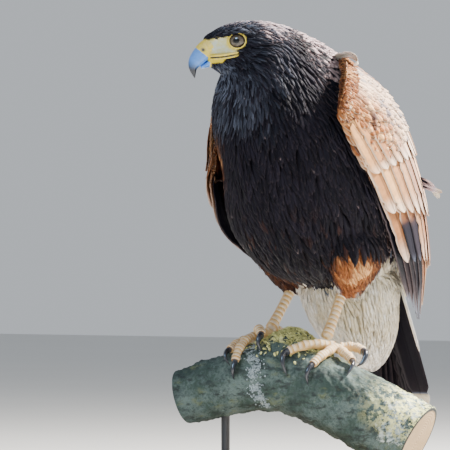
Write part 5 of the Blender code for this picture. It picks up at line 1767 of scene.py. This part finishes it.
def make_shank(label, stations):
    """Shank with broad overlapping plates in front and small scales behind, rounded off at both ends."""
    table = np.column_stack((np.array((0, 0.5, 1.0)), np.array(stations)))
    t = np.linspace(0, 1, 150)
    path = through(table, t)
    turn = full_turn(SHANK_SIDES)
    plate, broad = scutes(t[:, None], turn[None, :], 13, 1.5 * math.pi)
    base = SHANK_RADIUS * np.interp(t, (0, 0.15, 0.6, 0.85, 1), (1.20, 1.02, 0.95, 1.06, 1.25))[:, None]
    close = np.sqrt(np.clip(1 - (np.abs(t - 0.5) - 0.44).clip(0) ** 2 / 0.0601**2, 0.0004, 1))[:, None]
    small = 0.00012 * np.sin(t * 160)[:, None] * np.sin(turn * 9)[None, :] * (1 - broad)
    rings = tube_rings(path, (base + PLATE * plate - PLATE_SUNK + small) * close, SHANK_SIDES, (1, 0, 0))
    shape = tubes(rings, {"crown": plate + (1 - broad) * 0.5})
    mesh_piece("leg_" + label, shape, leg_skin, ("shank_" + label,))


def palm_form(along, turn, height):
    """The ball of the foot, where the toes meet."""
    centre = perch_place(along, math.radians(turn), height)
    form = ball(centre, UP, 1.0, 0.0, 24, 36)
    spread = (form["points"] - centre) * PALM_HALF
    form["points"] = centre + spread * (1 + 0.05 * ripple(spread, 0.006, 3))[:, None]
    form["values"] = {"crown": np.clip(0.5 + 0.4 * ripple(spread, 0.004, 4), 0, 1)}
    return form


def toe_form(name, rows):
    """A toe ringed with plates on its upper side, with a swelling at each joint."""
    t = np.linspace(0, 1, 96)
    path = toe_path(rows, t)
    path = path - off_perch(path) * TOE_SINK
    slim, plates = (0.92, 9) if name in ("inner", "hind") else (0.86, 12)
    knuckle = 1.0 + 0.09 * np.cos(t * 2 * math.pi * 3.1)
    size = TOE_RADIUS * slim * 1.08 * np.interp(t, (0, 0.5, 0.9, 1), (1.1, 1.02, 1.0, 0.82)) * knuckle
    plate, broad = scutes(t[:, None], full_turn(TOE_SIDES)[None, :], plates, 0.5 * math.pi)
    radii = size[:, None] + TOE_PLATE * plate - PLATE_SUNK
    rings = tube_rings(path, radii, TOE_SIDES, off_perch(path), towards=1)
    return tubes(rings, {"crown": plate + (1 - broad) * 0.45})


def talon_form(name, rows):
    """A long curved claw, bent down until its tip meets the bark."""
    at = np.linspace(CLAW_FROM, 2, 48)
    path = toe_path(rows, at)
    tip_height = rows[-1][2]
    sink = np.interp(at, (1.0, 1.5, 2.0), (TOE_SINK, 0.4 * tip_height, tip_height))
    path = path - off_perch(path) * sink[:, None]
    thin = np.interp(at, (CLAW_FROM, 1.1, 1.3, 1.5, 1.7, 1.85, 2), (1.0, 1.03, 0.95, 0.82, 0.58, 0.36, 0.05))
    rings = tube_rings(path, (CLAW_RADIUS[name] * thin)[:, None], CLAW_SIDES, off_perch(path), 0.82, 1)
    return tubes(rings, {"reach": (at - CLAW_FROM)[:, None] / (2 - CLAW_FROM)})


def make_foot(label, palm, toes):
    """Foot with scaled toes that grip the branch, and its talons."""
    shapes = [palm_form(*palm)]
    for name, rows in toes.items():
        shapes.append(toe_form(name, rows))
        ending = "%s_%s" % (name, label)
        mesh_piece("talon_" + ending, talon_form(name, rows), claw_horn, ("claw_" + ending,))
    mesh_piece("toes_" + label, joined(shapes), leg_skin, ("foot_" + label,))


BARK_INSET = 0.0006  # how far the bark ends short of the solid's ends
BARK_FADE = 0.004


def make_perch():
    """The branch: knobbly bark over its length, marked where crusts grow, with sawn ends."""
    start, end = PERCH[0][0], PERCH[-1][0]
    along = np.linspace(start + BARK_INSET, end - BARK_INSET, 260)[:, None]
    turn = np.linspace(-math.pi, math.pi, 120, endpoint=False)[None, :]
    flat = perch_place(along, turn, 0.0)
    rough = 0.0007 * rough_noise(flat, 0.012, 21, 4) + 0.0005 * rough_noise(flat, 0.045, 29, 2) - 0.0001
    whole = fade(along, start, start + BARK_FADE) * (1 - fade(along, end - BARK_FADE, end))
    points = perch_place(along, turn, rough * whole - 0.0004 * (1 - whole))
    beside = bell(along + 0.033 + 0.006 * turn, 0.007) * fade(np.cos(turn + 1.2), -0.2, 0.6)
    far = bell(along - 0.106, 0.022) * fade(np.cos(turn + 0.6), -0.2, 0.7)
    mound = bell(along + 0.002, 0.022) * fade(np.cos(turn - 0.25), 0.70, 0.95)
    lichen = np.clip(0.50 * beside + 0.6 * far + 0.06, 0, 1)
    gold = np.clip(mound * 1.1 + 0.9 * far * fade(np.cos(turn + 0.5), 0.2, 0.9), 0, 1)
    shape = tubes(points, {"lichen": lichen, "gold": gold})
    mesh_piece("branch_bark", shape, bark, ("stand_perch",))
    for label, x, way in (("left", end - BARK_INSET, 1), ("right", start + BARK_INSET, -1)):
        mesh_piece("branch_end_" + label, end_disc(x, way), sawn_end)


def end_disc(x, way):
    """A thin sawn face over the branch's end: rings from the heart to the bark."""
    rim = perch_place(x, np.linspace(-math.pi, math.pi, 96, endpoint=False), -0.0007)
    middle = rim.mean(0)
    run = PERCH_RUN * way
    reach = np.concatenate((np.linspace(0.03, 1.0, 30), np.linspace(1.0, 0.03, 6)))
    lift = np.concatenate((np.full(30, 0.0005), np.full(6, -0.0010)))
    lift[29] = 0.0001
    rings = middle + (rim - middle)[None] * reach[:, None, None] + run * lift[:, None, None]
    return tubes(rings, {"reach": reach[:, None]})


# A lichen lobe along its length: stations and half-width
LOBE_AT = np.array((0.0, 0.35, 0.7, 1.0))
LOBE_OUTLINE = np.array((0.35, 0.9, 1.0, 0.55))


def lichen_lobes(name, along, turn, size, material, stand):
    """Small crinkled lobes rooted on the bark, leaning out at random; stand is how steeply."""
    n = len(along)
    root = perch_place(along, turn, -0.0003)
    out = unit(perch_place(along, turn, 0.001) - perch_place(along, turn, 0.0))
    way = rng.normal(size=(n, 3))
    way = unit(way - (way * out).sum(-1, keepdims=True) * out)
    lean = rng.uniform(stand * 0.4, stand, n)[:, None]
    path = root[:, None, :] + (size[:, None] * LOBE_AT)[..., None] * way[:, None, :]
    rise = size[:, None] * lean * (LOBE_AT - 0.35 * LOBE_AT**2) + 0.0008 * LOBE_AT
    path = path + out[:, None, :] * rise[..., None]
    outs = np.broadcast_to(out[:, None, :], path.shape) - way[:, None, :] * lean[..., None] * 0.5
    marks = {"tone": rng.uniform(0, 1, n)}
    roots = np.stack(((along + 0.11) / 0.24, (turn / (2 * math.pi)) % 1.0), -1)
    half = size * rng.uniform(0.3, 0.6, n)
    shape = small_feathers(path, unit(outs), half, LOBE_OUTLINE, 0.0006, marks, roots, -0.3)
    return mesh_piece(name, shape, material)


MOUND_LOBES = 3400
BAND_LOBES = 1300


def make_lichen():
    """Leafy lichen: a dense yellow-green mound on the knob and a pale blue-grey band beside it."""
    n = MOUND_LOBES
    along = rng.normal(KNOB[0] + 0.002, 0.0135, n)
    turn = rng.normal(0.22, 0.36, n)
    patchy = ripple(perch_place(along, turn), 0.012, 91) + rng.normal(0, 0.3, n) > -0.35
    along, turn = along[patchy], turn[patchy]
    lichen_lobes("lichen_mound", along, turn, rng.uniform(0.0014, 0.0034, len(along)), moss_crust, 0.9)
    n = BAND_LOBES
    turn = rng.uniform(-2.6, 0.0, n)
    along = rng.normal(-0.033, 0.0032, n) - 0.006 * turn + 0.002 * np.sin(turn * 4.0)
    patchy = ripple(perch_place(along, turn), 0.010, 95) + rng.normal(0, 0.3, n) > -0.1
    along, turn = along[patchy], turn[patchy]
    lichen_lobes("lichen_band", along, turn, rng.uniform(0.0010, 0.0022, len(along)), grey_crust, 0.3)


plumage = finish("plumage", feather_shade, Specular_IOR_Level=0.06)
feather_skin = finish("skin_under_plumage", skin_shade, Specular_IOR_Level=0.1)
bill_horn = finish("bill_horn", horn_shade, Specular_IOR_Level=0.5, Coat_Weight=0.2, Coat_Roughness=0.15)
claw_horn = finish("claw_horn", claw_shade, Specular_IOR_Level=0.5, Coat_Weight=0.3, Coat_Roughness=0.12)
cere_skin = finish("cere_skin", cere_shade, Specular_IOR_Level=0.5)
leg_skin = finish("leg_skin", leg_shade, Specular_IOR_Level=0.4)
eye_gloss = finish("eye_gloss", eye_shade, Specular_IOR_Level=0.2, Coat_Weight=0.45, Coat_Roughness=0.02)
bark = finish("bark", bark_shade, Specular_IOR_Level=0.3)
moss_crust = finish("moss_crust", crust_shade((0.28, 0.28, 0.09), MOSS), Specular_IOR_Level=0.2)
grey_crust = finish("grey_crust", crust_shade((0.10, 0.13, 0.14), (0.40, 0.48, 0.52)), Specular_IOR_Level=0.2)
sawn_end = finish("sawn_end", end_shade, Specular_IOR_Level=0.3)
timber = finish("oiled_oak", timber_shade, Specular_IOR_Level=0.45)
black_steel = finish("black_steel", metal_shade, Metallic=0.9)
floor_paint = finish("pale_floor", floor_shade)


def make_coat(skin):
    """The soft feathers in five pieces: head, breast, back, thighs and under-tail."""
    places = scattered(skin, COAT_DRAWS)
    lengths = coat_length(places)
    forward, _, up = by_head(places)
    in_bill = (forward > BILL_FROM) & (up > BILL_UNDER) & (up < BILL_OVER)
    away = np.minimum(*(np.linalg.norm(places - eye_centre(side), axis=-1) for _, side in SIDES))
    thigh = np.minimum(inside_level(THIGH_LEFT, places), inside_level(THIGH_RIGHT, places))
    on_thigh = (thigh < 1.15) & (places[:, 2] < THIGH_TOP)
    on_vent = (inside_level(VENT, places) < 1.25) & (places[:, 2] < VENT_TOP) & ~on_thigh
    gap = np.where(on_vent | on_thigh, LOOSE_GAP, np.round(lengths * GAP_SHARE / GAP_STEP) * GAP_STEP)
    clear = (away > EYE_CLEAR) & (beside_eye(places) > RING_CLEAR)
    open_to = np.flatnonzero((lores(places) < BARE_FROM) & ~in_bill & clear)
    kept = open_to[thinned(places[open_to], gap[open_to])]
    places, lengths, on_thigh, on_vent = places[kept], lengths[kept], on_thigh[kept], on_vent[kept]
    on_head = (lengths < HEAD_LENGTH) & ~on_vent & ~on_thigh
    before = places[:, 1] + FRONT_LEAN * (places[:, 2] - FRONT_HEIGHT) < 0.0
    on_front = ~on_head & ~on_vent & ~on_thigh & before
    on_back = ~(on_head | on_front | on_vent | on_thigh)
    soft_coat(skin, "coat_head", places[on_head], "dark_feathers", lengths[on_head], 0.14, 0.2)
    length = lengths[on_front] * 1.25
    soft_coat(skin, "coat_breast", places[on_front], "dark_feathers", length, 0.105, 0.35, 1.1, 0.0003, 0.2)
    soft_coat(skin, "coat_back", places[on_back], "dark_feathers", lengths[on_back], 0.22)
    length = np.full(on_thigh.sum(), THIGH_LENGTH)
    soft_coat(skin, "coat_thighs", places[on_thigh], "thigh_feathers", length, 0.13, 0.3)
    roots, length = places[on_vent], np.full(on_vent.sum(), VENT_LENGTH)
    silky = unit(np.array((0.0, 0.30, -1.0)) + 0.30 * (lie(roots) - (0.0, 0.38, -0.92)))
    soft_coat(skin, "coat_vent", roots, "white_feathers", length, 0.085, 0.1, 0.5, 0.0001, 0.04, silky)


make_coat(make_skin())
for label, side in SIDES:
    make_wing(label, side)
loose_feathers()
make_tail()
tail_edge()
tail_root()
make_bill()
make_mouth_edges()
make_eyes()
make_shank("left", SHANK_LEFT)
make_foot("left", PALM_LEFT, TOES_LEFT)
make_shank("right", SHANK_RIGHT)
make_foot("right", PALM_RIGHT, TOES_RIGHT)
make_perch()
make_lichen()
STAND = {"stand_base": timber, "stand_rod_left": black_steel, "stand_rod_right": black_steel}
for name, material in STAND.items():
    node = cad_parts[name]
    node.data.materials.clear()
    node.data.materials.append(material)

# The floor, the lights and the camera at the photo's angle
VIEW_TURN = math.radians(38)
RIGHT = np.array((math.cos(VIEW_TURN), math.sin(VIEW_TURN), 0.0))
BEHIND = np.array((math.sin(VIEW_TURN), -math.cos(VIEW_TURN), 0.0))
VIEW_CENTRE = FEET + RIGHT * -0.06636 + UP * 0.10909
VIEW_AWAY = 5.0
FRAME_WIDTH = 0.40909  # metres across the picture at the hawk
SENSOR = 36.0
MIDDLE = FEET + UP * 0.10
FLOOR_HALF = 6.0
ROOM_COLOUR = (0.84, 0.89, 0.95, 1)
ROOM_LIGHT = 0.62

floor_mesh = bpy.data.meshes.new("floor")
corners = [(x * FLOOR_HALF, y * FLOOR_HALF, 0) for x, y in ((-1, -1), (1, -1), (1, 1), (-1, 1))]
floor_mesh.from_pydata(corners, [], [(0, 1, 2, 3)])
floor_mesh.materials.append(floor_paint)
floor = placed("floor", floor_mesh)


def looking(obj, place, target):
    """Puts an object at a place, with its -Z towards the target."""
    back = unit(place - target)
    side = unit(np.cross(UP, back))
    up = np.cross(back, side)
    matrix = np.eye(4)
    matrix[:3, 0], matrix[:3, 1], matrix[:3, 2], matrix[:3, 3] = side, up, back, place
    obj.matrix_world = mathutils.Matrix(matrix.tolist())


def area_light(name, place, size, power, colour, mirrored=True, lit=True):
    """A soft square light that looks at the hawk. It may be left out of reflections or of diffuse light."""
    lamp = bpy.data.lights.new(name, "AREA")
    lamp.size = size
    lamp.energy = power
    lamp.color = colour
    obj = placed(name, lamp)
    obj.visible_glossy = mirrored
    obj.visible_diffuse = lit
    looking(obj, place, MIDDLE)


area_light("key", MIDDLE + RIGHT * 1.15 - BEHIND * 0.35 + UP * 1.15, 0.35, 245, (1.0, 0.94, 0.86))
area_light("fill", MIDDLE - RIGHT * 0.9 + BEHIND * 1.6 + UP * 0.8, 1.4, 12, (0.90, 0.95, 1.0), False)
area_light("low", MIDDLE + RIGHT * 0.3 + BEHIND * 1.7 + UP * 0.1, 1.0, 4, (1.0, 0.98, 0.95), False)
area_light("sky", MIDDLE - RIGHT * 0.9 + BEHIND * 1.55 + UP * 1.55, 0.75, 80, (0.42, 0.68, 1.0), True, False)
world = bpy.data.worlds.new("pale_room")
world.use_nodes = True
sky = world.node_tree.nodes["Background"]
sky.inputs["Color"].default_value = ROOM_COLOUR
sky.inputs["Strength"].default_value = ROOM_LIGHT
bpy.context.scene.world = world

lens = bpy.data.cameras.new("camera")
lens.sensor_width = SENSOR
lens.lens = SENSOR * VIEW_AWAY / FRAME_WIDTH
lens.clip_end = 50.0
camera = placed("camera", lens)
looking(camera, VIEW_CENTRE + BEHIND * VIEW_AWAY, VIEW_CENTRE)
bpy.context.scene.camera = camera
